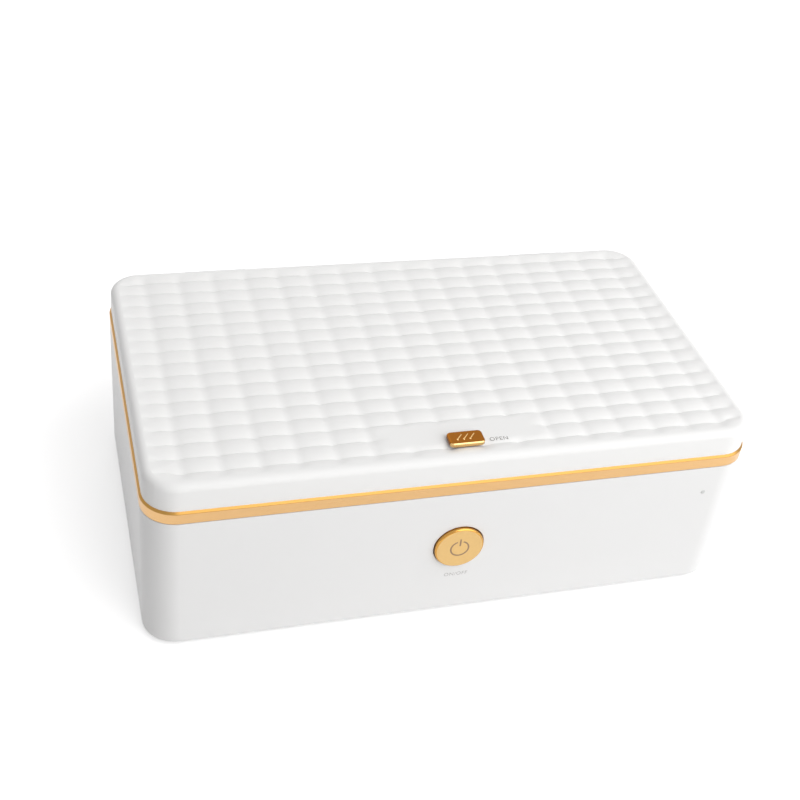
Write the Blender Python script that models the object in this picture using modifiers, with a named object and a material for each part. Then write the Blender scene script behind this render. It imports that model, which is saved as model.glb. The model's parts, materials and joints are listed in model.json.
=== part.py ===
"""A tabletop UV and ozone disinfection box, built piece by piece.

A white case with a gold band round its rim carries a quilted lid on two rear hinges. A gold
button on the front switches the two lamps under the chamber's guard, and a gold slider on the
lid draws its hook from the catch. Lengths are in metres, +Z is up, the front faces -Y, and the
origin is below the middle of the whole box, on the surface it stands on.
"""

import math

import bmesh
import bpy
from mathutils import Matrix, Vector

# Gaps, overruns and roundness shared by all pieces
SEAT_GAP = 0.0003
RUNNING_GAP = 0.00015
OVERRUN = 0.004
BITE = 0.0009
CORNER_STEPS = 6
ROUND_SIDES = 24
SMALL_SIDES = 12
SEAM = 0.00001
SHARP_ANGLE = math.radians(32)

# Case
CASE_LENGTH = 0.240
CASE_DEPTH = 0.138
CASE_CORNER = 0.013
CASE_WALL = 0.0022
BODY_HEIGHT = 0.0618
BODY_FOOT_EDGE = 0.0008
BOSS_RADIUS = 0.004

# Gold band on the rim
BAND_HEIGHT = 0.0055
BAND_WIDTH = 0.0055
BAND_CHAMFER = 0.0010

# Feet and bottom cover
FOOT_HEIGHT = 0.0020
FOOT_RADIUS = 0.0060
FOOT_EDGE = 0.0006
FOOT_STEM_RADIUS = 0.0020
FOOT_STEM_REACH = 0.0015
FOOT_INSET_X = 0.022
FOOT_INSET_Y = 0.019
COVER_THICKNESS = 0.0020
VENT_WIDTH = 0.0024
VENT_LENGTH = 0.022
VENT_PITCH = 0.008
VENT_COUNT = 12
VENT_INSET = 0.034

# Screws
SCREW_HEAD_RADIUS = 0.0024
SCREW_HEAD_HEIGHT = 0.0012
SCREW_SHANK_RADIUS = 0.0011
COVER_SCREW_LENGTH = 0.010
LID_SCREW_LENGTH = 0.006
BOARD_SCREW_LENGTH = 0.006
HINGE_SCREW_LENGTH = 0.006

# Chamber liner
LINER_WALL = 0.0012
LINER_FRONT_SPACE = 0.017
LINER_REAR_SPACE = 0.010
LINER_SIDE_SPACE = 0.012
LINER_CORNER = 0.010
LINER_FLOOR_SPACE = 0.0135

# Lamps, their holders, reflector and guard
LAMP_RADIUS = 0.004
LAMP_ENTRY = 0.0065
LAMP_EDGE = 0.0008
LAMP_SPACING = 0.044
LAMP_CLEAR_OF_FLOOR = 0.0028
HOLDER_LENGTH = 0.008
HOLDER_DEPTH = 0.074
HOLDER_HEIGHT = 0.012
HOLDER_INSET = 0.0108
HOLDER_STUB_RADIUS = 0.004
HOLDER_STUB_DROP = 0.0042
REFLECTOR_END_SPACE = 0.0010
REFLECTOR_THICKNESS = 0.0008
REFLECTOR_HALF_DEPTH = 0.038
REFLECTOR_SHOULDER = 0.031
REFLECTOR_RISE = 0.0085
RIDGE_HALF_DEPTH = 0.012
RIDGE_HEIGHT = 0.006
GUARD_END_SPACE = 0.0043
GUARD_SIDE_SPACE = 0.0073
GUARD_HEIGHT = 0.0145
GUARD_SHEET = 0.0010
GUARD_SLOT_WIDTH = 0.005
GUARD_SLOT_LENGTH = 0.036
GUARD_SLOT_PITCH = 0.010
GUARD_SLOT_MARGIN = 0.012

# Power board and its parts
BOARD_LENGTH = 0.150
BOARD_DEPTH = 0.070
BOARD_THICKNESS = 0.0016
BOARD_REAR_SPACE = 0.012
STANDOFF_RADIUS = 0.0025
STANDOFF_HEIGHT = 0.0015
STANDOFF_INSET = 0.005
TRANSFORMER_LENGTH = 0.022
TRANSFORMER_DEPTH = 0.018
TRANSFORMER_HEIGHT = 0.0075
TRANSFORMER_INSET = 0.030
WINDING_LENGTH_SHARE = 0.5
WINDING_DEPTH_SHARE = 0.25
CAPACITOR_RADIUS = 0.0038
CAPACITOR_LENGTH = 0.016
CAPACITOR_EDGE = 0.0006
CAPACITOR_INSET = 0.040
INLET_INSET = 0.013
INLET_WIDTH = 0.009
INLET_DEPTH = 0.011
INLET_HEIGHT = 0.009
INLET_NOSE_RADIUS = 0.0044
INLET_BORE_RADIUS = 0.0031
INLET_BORE_DEPTH = 0.0085
INLET_PIN_RADIUS = 0.00065
INLET_RECESS = 0.0002

# Power button and its switch
BUTTON_RADIUS = 0.00995
BUTTON_HEIGHT = 0.0345
BUTTON_PROUD = 0.0015
BUTTON_EDGE = 0.0007
BUTTON_TRAVEL = 0.0008
BUTTON_FLANGE_RADIUS = 0.0114
BUTTON_FLANGE = 0.0012
BUTTON_STEM_RADIUS = 0.003
BUTTON_STEM_LENGTH = 0.0033
PLUNGER_RADIUS = 0.0016
PLUNGER_LENGTH = 0.0023
PLUNGER_ENTRY = 0.0010
SWITCH_WIDTH = 0.0062
SWITCH_DEPTH = 0.0035
SWITCH_BASE = 0.0007
SWITCH_BOARD_LENGTH = 0.040
SWITCH_BOARD_HEIGHT = 0.016
SWITCH_POST_RADIUS = 0.003
SWITCH_POST_SPACING = 0.031
SWITCH_LEAD_SHARE = 0.25

# Status light
LENS_INSET = 0.018
LENS_HEIGHT = 0.0487
LENS_RADIUS = 0.0008
LENS_PROUD = 0.0001
LENS_FLANGE_RADIUS = 0.0022
LENS_FLANGE = 0.0010
LENS_POCKET = 0.0006
LED_RADIUS = 0.0015
LED_LENGTH = 0.0040

# Hinges
HINGE_INSET = 0.046
HINGE_AXIS_OFFSET = 0.0034
KNUCKLE_RADIUS = 0.0028
HINGE_PIN_RADIUS = 0.0012
HINGE_PIN_EDGE = 0.0003
HINGE_WIDTH = 0.026
LID_KNUCKLE_WIDTH = 0.0114
HINGE_SHEET = 0.0016
BRACKET_HEIGHT = 0.012
BRACKET_DROP = 0.0036
WEB_INSET = 0.0005
WEB_DEPTH = 0.003
WEB_DROP = 0.0095
HINGE_SCREW_SPACING = 0.016
HINGE_SCREW_DROP = 0.0125
ARM_RISE = 0.0032
ARM_HEIGHT = 0.0055
NECK_RISE = 0.0004
NECK_HEIGHT = 0.0045

# Lid
LID_INSET = 0.0008
LID_HEIGHT = 0.0110
LID_WALL = 0.0020
LID_TOP_WALL = 0.0026
LID_FILLET = 0.0024
LID_FILLET_STEPS = 3
QUILT_COLUMNS = 17
QUILT_ROWS = 17
QUILT_SINK = 0.0001
COLUMN_RELIEF = 0.00035
ROW_RELIEF = 0.0006
PATCH_RELIEF = 0.0003
PATCH_COLUMNS = 5
PATCH_ROWS = 2
PATCH_FIRST_ROW = 6
PATCH_EDGE_SHARE = 0.25
LID_BOSS_RADIUS = 0.003
LID_BOSS_INSET_X = 0.014
LID_BOSS_INSET_Y = 0.013

# Lid liner, seal and magnet
PAN_GAP = 0.0006
PAN_SHEET = 0.0010
PAN_DROP = 0.0034
PAN_FLANGE_RISE = 0.0016
SEAL_INSET = 0.0006
SEAL_WIDTH = 0.0024
MAGNET_END_INSET = 0.040
MAGNET_RADIUS = 0.004
MAGNET_HEIGHT = 0.002
MAGNET_INSET = 0.012
SENSOR_LENGTH = 0.014
SENSOR_DEPTH = 0.005
SENSOR_HEIGHT = 0.0035

# Latch
LATCH_INSET = 0.0124
LATCH_TRAVEL = 0.0035
SLIDER_LENGTH = 0.0138
SLIDER_DEPTH = 0.0072
SLIDER_HEIGHT = 0.0019
SLIDER_CORNER = 0.0016
SLIDER_EDGE = 0.0006
SLIDER_LIFT = 0.0001
SLIDER_FORWARD = 0.0014
STEM_LENGTH = 0.004
STEM_DEPTH = 0.003
CARRIER_LENGTH = 0.016
CARRIER_DEPTH = 0.008
CARRIER_THICKNESS = 0.0015
HOOK_LENGTH = 0.004
HOOK_DEPTH = 0.0025
HOOK_REACH = 0.022
NOSE_LENGTH = 0.0016
NOSE_HEIGHT = 0.0015
HOOK_PLAY = 0.0005
HOOK_SWING = 0.0011
CATCH_SHEET = 0.0012
CATCH_LENGTH = 0.012
CATCH_HEIGHT = 0.012
CATCH_LIP_LENGTH = 0.009
CATCH_LIP_DEPTH = 0.012
CATCH_PLAY = 0.0008
SPRING_RADIUS = 0.0015
SPRING_WIRE_RADIUS = 0.0003
SPRING_LENGTH = 0.012
SPRING_TURNS = 6
SPRING_POINTS_PER_TURN = 8
SPRING_RIB = 0.0015
SPRING_RIB_HEIGHT = 0.0042
SPRING_RIB_DEPTH = 0.008

# Leads
LEAD_RADIUS = 0.0010
LEAD_STEPS = 5
LEAD_BEND_SHARE = 0.35
LEAD_CLEARANCE = 0.0015

# Levels and places that follow from the sizes above
BODY_TOP = FOOT_HEIGHT + BODY_HEIGHT
COVER_TOP = FOOT_HEIGHT + COVER_THICKNESS
BAND_BOTTOM = BODY_TOP + SEAT_GAP
BAND_TOP = BAND_BOTTOM + BAND_HEIGHT
LID_BOTTOM = BAND_TOP + SEAT_GAP
LID_TOP = LID_BOTTOM + LID_HEIGHT
FRONT = -CASE_DEPTH / 2
REAR = CASE_DEPTH / 2
INSIDE_FRONT = FRONT + CASE_WALL
INSIDE_REAR = REAR - CASE_WALL
INSIDE_LENGTH = CASE_LENGTH - 2 * CASE_WALL
INSIDE_DEPTH = CASE_DEPTH - 2 * CASE_WALL
INSIDE_CORNER = CASE_CORNER - CASE_WALL
SCREW_HOLE_RADIUS = SCREW_SHANK_RADIUS + SEAT_GAP
BOSS_REACH = (INSIDE_CORNER + BITE - BOSS_RADIUS) / math.sqrt(2)
BOSS_X = CASE_LENGTH / 2 - CASE_CORNER + BOSS_REACH
BOSS_Y = CASE_DEPTH / 2 - CASE_CORNER + BOSS_REACH
FOOT_X = CASE_LENGTH / 2 - FOOT_INSET_X
FOOT_Y = CASE_DEPTH / 2 - FOOT_INSET_Y

LINER_LENGTH = CASE_LENGTH - 2 * LINER_SIDE_SPACE
LINER_FRONT = FRONT + LINER_FRONT_SPACE
LINER_REAR = REAR - LINER_REAR_SPACE
LINER_DEPTH = LINER_REAR - LINER_FRONT
LINER_Y = (LINER_FRONT + LINER_REAR) / 2
LINER_BOTTOM = COVER_TOP + LINER_FLOOR_SPACE
CHAMBER_FLOOR = LINER_BOTTOM + LINER_WALL
CHAMBER_LENGTH = LINER_LENGTH - 2 * LINER_WALL
CHAMBER_DEPTH = LINER_DEPTH - 2 * LINER_WALL
DECK_TOP = BODY_TOP
DECK_BOTTOM = DECK_TOP - LINER_WALL
FLOOR_SEAT = CHAMBER_FLOOR + SEAT_GAP
LAMP_Z = FLOOR_SEAT + LAMP_CLEAR_OF_FLOOR + LAMP_RADIUS
HOLDER_X = CHAMBER_LENGTH / 2 - HOLDER_INSET
HOLDER_FACE = HOLDER_X - HOLDER_LENGTH / 2
LAMP_LENGTH = 2 * (HOLDER_FACE + LAMP_ENTRY)
REFLECTOR_LENGTH = 2 * (HOLDER_FACE - REFLECTOR_END_SPACE)
GUARD_LENGTH = CHAMBER_LENGTH - 2 * GUARD_END_SPACE
GUARD_DEPTH = CHAMBER_DEPTH - 2 * GUARD_SIDE_SPACE
GUARD_SLOT_COUNT = int((GUARD_LENGTH - 2 * GUARD_SLOT_MARGIN) / GUARD_SLOT_PITCH)

BOARD_BOTTOM = COVER_TOP + STANDOFF_HEIGHT + SEAT_GAP
BOARD_TOP = BOARD_BOTTOM + BOARD_THICKNESS
BOARD_REAR = REAR - BOARD_REAR_SPACE
BOARD_Y = BOARD_REAR - BOARD_DEPTH / 2
BOARD_SEAT = BOARD_TOP + SEAT_GAP
INLET_X = BOARD_LENGTH / 2 - INLET_INSET
INLET_Z = BOARD_SEAT + INLET_HEIGHT / 2

BUTTON_Z = FOOT_HEIGHT + BUTTON_HEIGHT
BUTTON_FACE = FRONT - BUTTON_PROUD
FLANGE_FRONT = INSIDE_FRONT + SEAT_GAP
STEM_END = FLANGE_FRONT + BUTTON_FLANGE + BUTTON_STEM_LENGTH
PLUNGER_FRONT = STEM_END + SEAT_GAP
SWITCH_FRONT = PLUNGER_FRONT + PLUNGER_LENGTH - PLUNGER_ENTRY
SWITCH_REAR = SWITCH_FRONT + SWITCH_DEPTH
SWITCH_BOARD_FRONT = SWITCH_REAR + SEAT_GAP
SWITCH_BOARD_REAR = SWITCH_BOARD_FRONT + BOARD_THICKNESS
LENS_X = CASE_LENGTH / 2 - LENS_INSET
LENS_Z = FOOT_HEIGHT + LENS_HEIGHT

HINGE_X = CASE_LENGTH / 2 - HINGE_INSET
HINGE_Y = REAR + HINGE_AXIS_OFFSET
HINGE_Z = BAND_TOP
HINGE_BORE_RADIUS = HINGE_PIN_RADIUS + RUNNING_GAP

LID_LENGTH = CASE_LENGTH - 2 * LID_INSET
LID_DEPTH = CASE_DEPTH - 2 * LID_INSET
LID_CORNER = CASE_CORNER - LID_INSET
LID_INSIDE_LENGTH = LID_LENGTH - 2 * LID_WALL
LID_INSIDE_DEPTH = LID_DEPTH - 2 * LID_WALL
LID_INSIDE_CORNER = LID_CORNER - LID_WALL
LID_CEILING = LID_TOP - LID_TOP_WALL
COLUMN_PITCH = LID_LENGTH / QUILT_COLUMNS
ROW_PITCH = LID_DEPTH / QUILT_ROWS
QUILT_CREST = LID_TOP - QUILT_SINK
PATCH_TOP = QUILT_CREST - PATCH_RELIEF
LID_BOSS_X = CASE_LENGTH / 2 - LID_BOSS_INSET_X
LID_BOSS_Y = CASE_DEPTH / 2 - LID_BOSS_INSET_Y

MOUTH_LENGTH = CASE_LENGTH - 2 * BAND_WIDTH
MOUTH_DEPTH = CASE_DEPTH - 2 * BAND_WIDTH
MOUTH_CORNER = CASE_CORNER - BAND_WIDTH
PAN_LENGTH = MOUTH_LENGTH - 2 * PAN_GAP
PAN_DEPTH = MOUTH_DEPTH - 2 * PAN_GAP
PAN_CORNER = MOUTH_CORNER - PAN_GAP
PAN_BOTTOM = LID_BOTTOM - PAN_DROP
PAN_FLOOR = PAN_BOTTOM + PAN_SHEET
PAN_FLANGE_BOTTOM = LID_BOTTOM + PAN_FLANGE_RISE
PAN_FLANGE_TOP = PAN_FLANGE_BOTTOM + PAN_SHEET
SEAL_BOTTOM = DECK_TOP + SEAT_GAP
SEAL_TOP = PAN_BOTTOM - SEAT_GAP
MAGNET_X = MAGNET_END_INSET - CASE_LENGTH / 2
MAGNET_Y = FRONT + MAGNET_INSET

LATCH_Y = FRONT + LATCH_INSET
SLIDER_BOTTOM = LID_TOP + SLIDER_LIFT
CARRIER_TOP = LID_CEILING - SEAT_GAP
CARRIER_BOTTOM = CARRIER_TOP - CARRIER_THICKNESS
HOOK_BOTTOM = CARRIER_TOP - HOOK_REACH
NOSE_TIP = -HOOK_LENGTH / 2 - NOSE_LENGTH
CATCH_LIP_END = NOSE_TIP - SEAT_GAP
CATCH_LIP_BOTTOM = HOOK_BOTTOM + NOSE_HEIGHT + CATCH_PLAY
SPRING_START = CARRIER_LENGTH / 2 + SEAT_GAP + SPRING_WIRE_RADIUS
SPRING_END = SPRING_START + SPRING_LENGTH
SPRING_Z = LID_CEILING - SEAT_GAP - SPRING_WIRE_RADIUS - SPRING_RADIUS
RIB_START = SPRING_END + SPRING_WIRE_RADIUS + SEAT_GAP

# The hinges stand out behind the case and the button before it, and the origin is midway
CASE_Y = (BUTTON_PROUD - HINGE_AXIS_OFFSET - KNUCKLE_RADIUS) / 2


def clear_scene():
    """Removes whatever the file holds, so that the model starts from nothing."""
    for obj in list(bpy.data.objects):
        bpy.data.objects.remove(obj)
    for block in list(bpy.data.collections):
        bpy.data.collections.remove(block)


def new_collection(name):
    collection = bpy.data.collections.new(name)
    bpy.context.scene.collection.children.link(collection)
    return collection


def make_material(name, color, roughness, metallic=0.0, alpha=1.0):
    material = bpy.data.materials.new(name)
    material.use_nodes = True
    shader = material.node_tree.nodes["Principled BSDF"]
    shader.inputs["Base Color"].default_value = (*color, 1.0)
    shader.inputs["Roughness"].default_value = roughness
    shader.inputs["Metallic"].default_value = metallic
    shader.inputs["Alpha"].default_value = alpha
    return material


clear_scene()
BOX = new_collection("uv_ozone_disinfection_box")
CUTTERS = new_collection("cutters")

WHITE_PLASTIC = make_material("white_plastic", (0.86, 0.86, 0.86), 0.30)
QUILTED_PLASTIC = make_material("quilted_plastic", (0.90, 0.90, 0.89), 0.45)
GOLD = make_material("satin_gold", (0.80, 0.52, 0.22), 0.30, metallic=1.0)
MIRROR_ALUMINIUM = make_material("mirror_aluminium", (0.88, 0.89, 0.90), 0.12, metallic=1.0)
STEEL = make_material("zinc_steel", (0.62, 0.62, 0.64), 0.35, metallic=1.0)
QUARTZ = make_material("quartz_glass", (0.80, 0.84, 0.95), 0.05, alpha=0.5)
CERAMIC = make_material("white_ceramic", (0.82, 0.81, 0.78), 0.55)
GREEN_BOARD = make_material("green_board", (0.02, 0.16, 0.07), 0.45)
BLACK_PLASTIC = make_material("black_plastic", (0.02, 0.02, 0.02), 0.45)
FERRITE = make_material("ferrite", (0.09, 0.09, 0.10), 0.60)
SLEEVE_BLUE = make_material("capacitor_sleeve", (0.02, 0.05, 0.20), 0.35)
RUBBER = make_material("grey_rubber", (0.30, 0.30, 0.31), 0.80)
SILICONE = make_material("white_silicone", (0.80, 0.80, 0.79), 0.65)
LENS_GREY = make_material("smoked_lens", (0.45, 0.45, 0.47), 0.20)
WIRE_RED = make_material("red_wire", (0.50, 0.03, 0.02), 0.50)


def new_empty(name, place, parent=None):
    """An empty on a joint's axis, which carries the pieces that move about it."""
    empty = bpy.data.objects.new(name, None)
    BOX.objects.link(empty)
    empty.parent = parent
    empty.location = Vector(place) - case_place(parent)
    return empty


def case_place(empty):
    """Where an empty lies in the case's own frame, whose middle is the root empty."""
    if empty is None or empty.parent is None:
        return Vector((0, 0, 0))
    return empty.location + case_place(empty.parent)


case_origin = new_empty("case_origin", (0, 0, 0))
case_origin.location.y = CASE_Y
lid_axis = new_empty("lid_axis", (0, HINGE_Y, HINGE_Z), case_origin)
latch_rail = new_empty("latch_rail", (0, LATCH_Y, LID_CEILING), lid_axis)
button_axis = new_empty("button_axis", (0, FRONT, BUTTON_Z), case_origin)


def hang(obj, carrier, place=(0, 0, 0), turn=(0, 0, 0)):
    """Puts a piece at its place in the case's frame, carried by an empty."""
    obj.parent = carrier
    obj.location = Vector(place) - case_place(carrier)
    obj.rotation_euler = turn
    return obj


def mesh_object(name, bm, collection, material=None):
    mesh = bpy.data.meshes.new(name)
    bm.to_mesh(mesh)
    bm.free()
    if material:
        mesh.materials.append(material)
    obj = bpy.data.objects.new(name, mesh)
    collection.objects.link(obj)
    return obj


def smooth(obj):
    """Round faces shade smooth, and edges sharper than the limit stay crisp."""
    obj.data.shade_smooth()
    obj.data.set_sharp_from_angle(angle=SHARP_ANGLE)
    return obj


def add_slab(bm, length, depth, low, high, x=0.0, y=0.0, corner=0.0):
    """Adds a block between two levels, with its upright edges rounded."""
    verts = bmesh.ops.create_cube(bm, size=1.0)["verts"]
    bmesh.ops.scale(bm, vec=(length, depth, high - low), verts=verts)
    bmesh.ops.translate(bm, vec=(x, y, (low + high) / 2), verts=verts)
    if corner > 0:
        edges = {edge for vert in verts for edge in vert.link_edges}
        upright = [edge for edge in edges if is_upright(edge)]
        bmesh.ops.bevel(
            bm, geom=upright, offset=corner, segments=CORNER_STEPS, profile=0.5, affect="EDGES"
        )


def is_upright(edge):
    first, second = edge.verts
    return abs(first.co.z - second.co.z) > (first.co.xy - second.co.xy).length


def bevel_rim(bm, level, width, steps):
    """Rounds or chamfers the outline of a flat face at one level."""
    rim = [edge for edge in bm.edges if all(abs(v.co.z - level) < SEAM for v in edge.verts)]
    bmesh.ops.bevel(bm, geom=rim, offset=width, segments=steps, profile=0.5, affect="EDGES")


def add_rod(bm, radius, start, end, sides=ROUND_SIDES):
    """Adds a cylinder between two points."""
    start, end = Vector(start), Vector(end)
    turn = (end - start).to_track_quat("Z", "Y").to_matrix().to_4x4()
    bmesh.ops.create_cone(
        bm,
        cap_ends=True,
        segments=sides,
        radius1=radius,
        radius2=radius,
        depth=(end - start).length,
        matrix=Matrix.Translation((start + end) / 2) @ turn,
    )


def combine(target, operation, name, bm):
    """Cuts, joins or intersects a piece with a hidden helper that is made in the case's frame."""
    helper = mesh_object(name, bm, CUTTERS)
    helper.hide_render = True
    helper.display_type = "WIRE"
    hang(helper, target.parent)
    modifier = target.modifiers.new(name, "BOOLEAN")
    modifier.operation = operation
    modifier.solver = "EXACT"
    modifier.object = helper


def turned(name, profile, material, sides=ROUND_SIDES):
    """A round piece about its own Z axis, from (radius, height) points down its outer side."""
    bm = bmesh.new()
    points = [bm.verts.new((radius, 0, height)) for radius, height in profile]
    for upper, lower in zip(points, points[1:]):
        bm.edges.new((upper, lower))
    obj = mesh_object(name, bm, BOX, material)
    screw = obj.modifiers.new("turn", "SCREW")
    screw.axis = "Z"
    screw.angle = math.tau
    screw.steps = sides
    screw.render_steps = sides
    screw.use_merge_vertices = True
    screw.merge_threshold = SEAM
    screw.use_smooth_shade = False
    return obj


def screw_piece(name, length, carrier, place, turn):
    """A pan-head screw. Its origin is under the head, and its shank runs down from there."""
    crown = SCREW_HEAD_RADIUS - SCREW_HEAD_HEIGHT / 2
    profile = [
        (0, SCREW_HEAD_HEIGHT),
        (crown, SCREW_HEAD_HEIGHT),
        (SCREW_HEAD_RADIUS, SCREW_HEAD_HEIGHT / 2),
        (SCREW_HEAD_RADIUS, 0),
        (SCREW_SHANK_RADIUS, 0),
        (SCREW_SHANK_RADIUS, -length),
        (0, -length),
    ]
    return hang(turned(name, profile, STEEL, SMALL_SIDES), carrier, place, turn)


FACE_FRONT = (math.pi / 2, 0, 0)
FACE_REAR = (-math.pi / 2, 0, 0)
FACE_DOWN = (math.pi, 0, 0)
ALONG_X = (0, math.pi / 2, 0)
FOUR_CORNERS = [
    ("front_left", -1, -1),
    ("front_right", 1, -1),
    ("rear_left", -1, 1),
    ("rear_right", 1, 1),
]
LEFT_AND_RIGHT = [("left", -1), ("right", 1)]


def make_body_shell():
    """The white case wall, with corner bosses, switch posts and holes for what shows outside."""
    bm = bmesh.new()
    add_slab(bm, CASE_LENGTH, CASE_DEPTH, FOOT_HEIGHT, BODY_TOP, corner=CASE_CORNER)
    bevel_rim(bm, FOOT_HEIGHT, BODY_FOOT_EDGE, 2)
    shell = hang(mesh_object("body_shell", bm, BOX, WHITE_PLASTIC), case_origin)

    bm = bmesh.new()
    low, high = FOOT_HEIGHT - OVERRUN, BODY_TOP + OVERRUN
    add_slab(bm, INSIDE_LENGTH, INSIDE_DEPTH, low, high, corner=INSIDE_CORNER)
    combine(shell, "DIFFERENCE", "body_hollow", bm)

    bm = bmesh.new()
    low, high = COVER_TOP + SEAT_GAP, DECK_BOTTOM - SEAT_GAP
    for _, side_x, side_y in FOUR_CORNERS:
        x, y = side_x * BOSS_X, side_y * BOSS_Y
        add_rod(bm, BOSS_RADIUS, (x, y, low), (x, y, high), SMALL_SIDES)
    for _, side in LEFT_AND_RIGHT:
        x = side * SWITCH_POST_SPACING / 2
        start, end = INSIDE_FRONT - BITE, SWITCH_BOARD_FRONT - SEAT_GAP
        add_rod(bm, SWITCH_POST_RADIUS, (x, start, BUTTON_Z), (x, end, BUTTON_Z), SMALL_SIDES)
    combine(shell, "UNION", "body_bosses", bm)

    bm = bmesh.new()
    start, end = (0, FRONT - OVERRUN, BUTTON_Z), (0, INSIDE_FRONT + SEAT_GAP, BUTTON_Z)
    add_rod(bm, BUTTON_RADIUS + SEAT_GAP, start, end)
    start, end = (LENS_X, FRONT - OVERRUN, LENS_Z), (LENS_X, INSIDE_FRONT + OVERRUN, LENS_Z)
    add_rod(bm, LENS_RADIUS + SEAT_GAP, start, end, SMALL_SIDES)
    start, end = (INLET_X, INSIDE_REAR - OVERRUN, INLET_Z), (INLET_X, REAR + OVERRUN, INLET_Z)
    add_rod(bm, INLET_NOSE_RADIUS + SEAT_GAP, start, end)
    for _, side_x, side_y in FOUR_CORNERS:
        x, y = side_x * BOSS_X, side_y * BOSS_Y
        top = FOOT_HEIGHT + COVER_SCREW_LENGTH
        add_rod(bm, SCREW_HOLE_RADIUS, (x, y, FOOT_HEIGHT - OVERRUN), (x, y, top), SMALL_SIDES)
    for _, side in LEFT_AND_RIGHT:
        x = side * SWITCH_POST_SPACING / 2
        start, end = SWITCH_BOARD_REAR - BOARD_SCREW_LENGTH, SWITCH_BOARD_REAR
        add_rod(bm, SCREW_HOLE_RADIUS, (x, start, BUTTON_Z), (x, end, BUTTON_Z), SMALL_SIDES)
        level = hinge_screw_level()
        for x in hinge_screw_places(side):
            start, end = (x, INSIDE_REAR - OVERRUN, level), (x, REAR + OVERRUN, level)
            add_rod(bm, SCREW_HOLE_RADIUS, start, end, SMALL_SIDES)
    combine(shell, "DIFFERENCE", "body_holes", bm)
    return smooth(shell)


def make_trim_band():
    """The gold frame on the rim, chamfered on its top outer edge."""
    bm = bmesh.new()
    add_slab(bm, CASE_LENGTH, CASE_DEPTH, BAND_BOTTOM, BAND_TOP, corner=CASE_CORNER)
    bevel_rim(bm, BAND_TOP, BAND_CHAMFER, 1)
    band = hang(mesh_object("trim_band", bm, BOX, GOLD), case_origin)
    bm = bmesh.new()
    low, high = BAND_BOTTOM - OVERRUN, BAND_TOP + OVERRUN
    add_slab(bm, MOUTH_LENGTH, MOUTH_DEPTH, low, high, corner=MOUTH_CORNER)
    combine(band, "DIFFERENCE", "band_mouth", bm)
    return smooth(band)


def make_bottom_cover():
    """The plate that closes the case from below, with standoffs for the board and a row of vents."""
    bm = bmesh.new()
    length, depth = INSIDE_LENGTH - 2 * SEAT_GAP, INSIDE_DEPTH - 2 * SEAT_GAP
    add_slab(bm, length, depth, FOOT_HEIGHT, COVER_TOP, corner=INSIDE_CORNER - SEAT_GAP)
    cover = hang(mesh_object("bottom_cover", bm, BOX, WHITE_PLASTIC), case_origin)

    bm = bmesh.new()
    for _, side_x, side_y in FOUR_CORNERS:
        x = side_x * (BOARD_LENGTH / 2 - STANDOFF_INSET)
        y = BOARD_Y + side_y * (BOARD_DEPTH / 2 - STANDOFF_INSET)
        start, end = (x, y, COVER_TOP - BITE), (x, y, COVER_TOP + STANDOFF_HEIGHT)
        add_rod(bm, STANDOFF_RADIUS, start, end, SMALL_SIDES)
    combine(cover, "UNION", "cover_standoffs", bm)

    bm = bmesh.new()
    low, high = FOOT_HEIGHT - OVERRUN, COVER_TOP + OVERRUN
    for _, side_x, side_y in FOUR_CORNERS:
        x, y = side_x * BOSS_X, side_y * BOSS_Y
        add_rod(bm, SCREW_HOLE_RADIUS, (x, y, low), (x, y, high), SMALL_SIDES)
        x, y = side_x * FOOT_X, side_y * FOOT_Y
        add_rod(bm, FOOT_STEM_RADIUS + SEAT_GAP, (x, y, low), (x, y, high), SMALL_SIDES)
    for index in range(VENT_COUNT):
        x = (index - (VENT_COUNT - 1) / 2) * VENT_PITCH
        add_slab(bm, VENT_WIDTH, VENT_LENGTH, low, high, x=x, y=FRONT + VENT_INSET)
    combine(cover, "DIFFERENCE", "cover_holes", bm)
    return smooth(cover)


def make_feet_and_cover_screws():
    """A rubber foot with a push-in stem and a screw at each corner of the bottom cover."""
    seat = FOOT_HEIGHT - SEAT_GAP
    stem_top = COVER_TOP + FOOT_STEM_REACH
    profile = [
        (0, stem_top),
        (FOOT_STEM_RADIUS, stem_top),
        (FOOT_STEM_RADIUS, seat),
        (FOOT_RADIUS, seat),
        (FOOT_RADIUS, FOOT_EDGE),
        (FOOT_RADIUS - FOOT_EDGE, 0),
        (0, 0),
    ]
    for name, side_x, side_y in FOUR_CORNERS:
        foot = turned(f"foot_{name}", profile, RUBBER)
        hang(foot, case_origin, (side_x * FOOT_X, side_y * FOOT_Y, 0))
        place = (side_x * BOSS_X, side_y * BOSS_Y, seat)
        screw_piece(f"cover_screw_{name}", COVER_SCREW_LENGTH, case_origin, place, FACE_DOWN)


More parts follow.
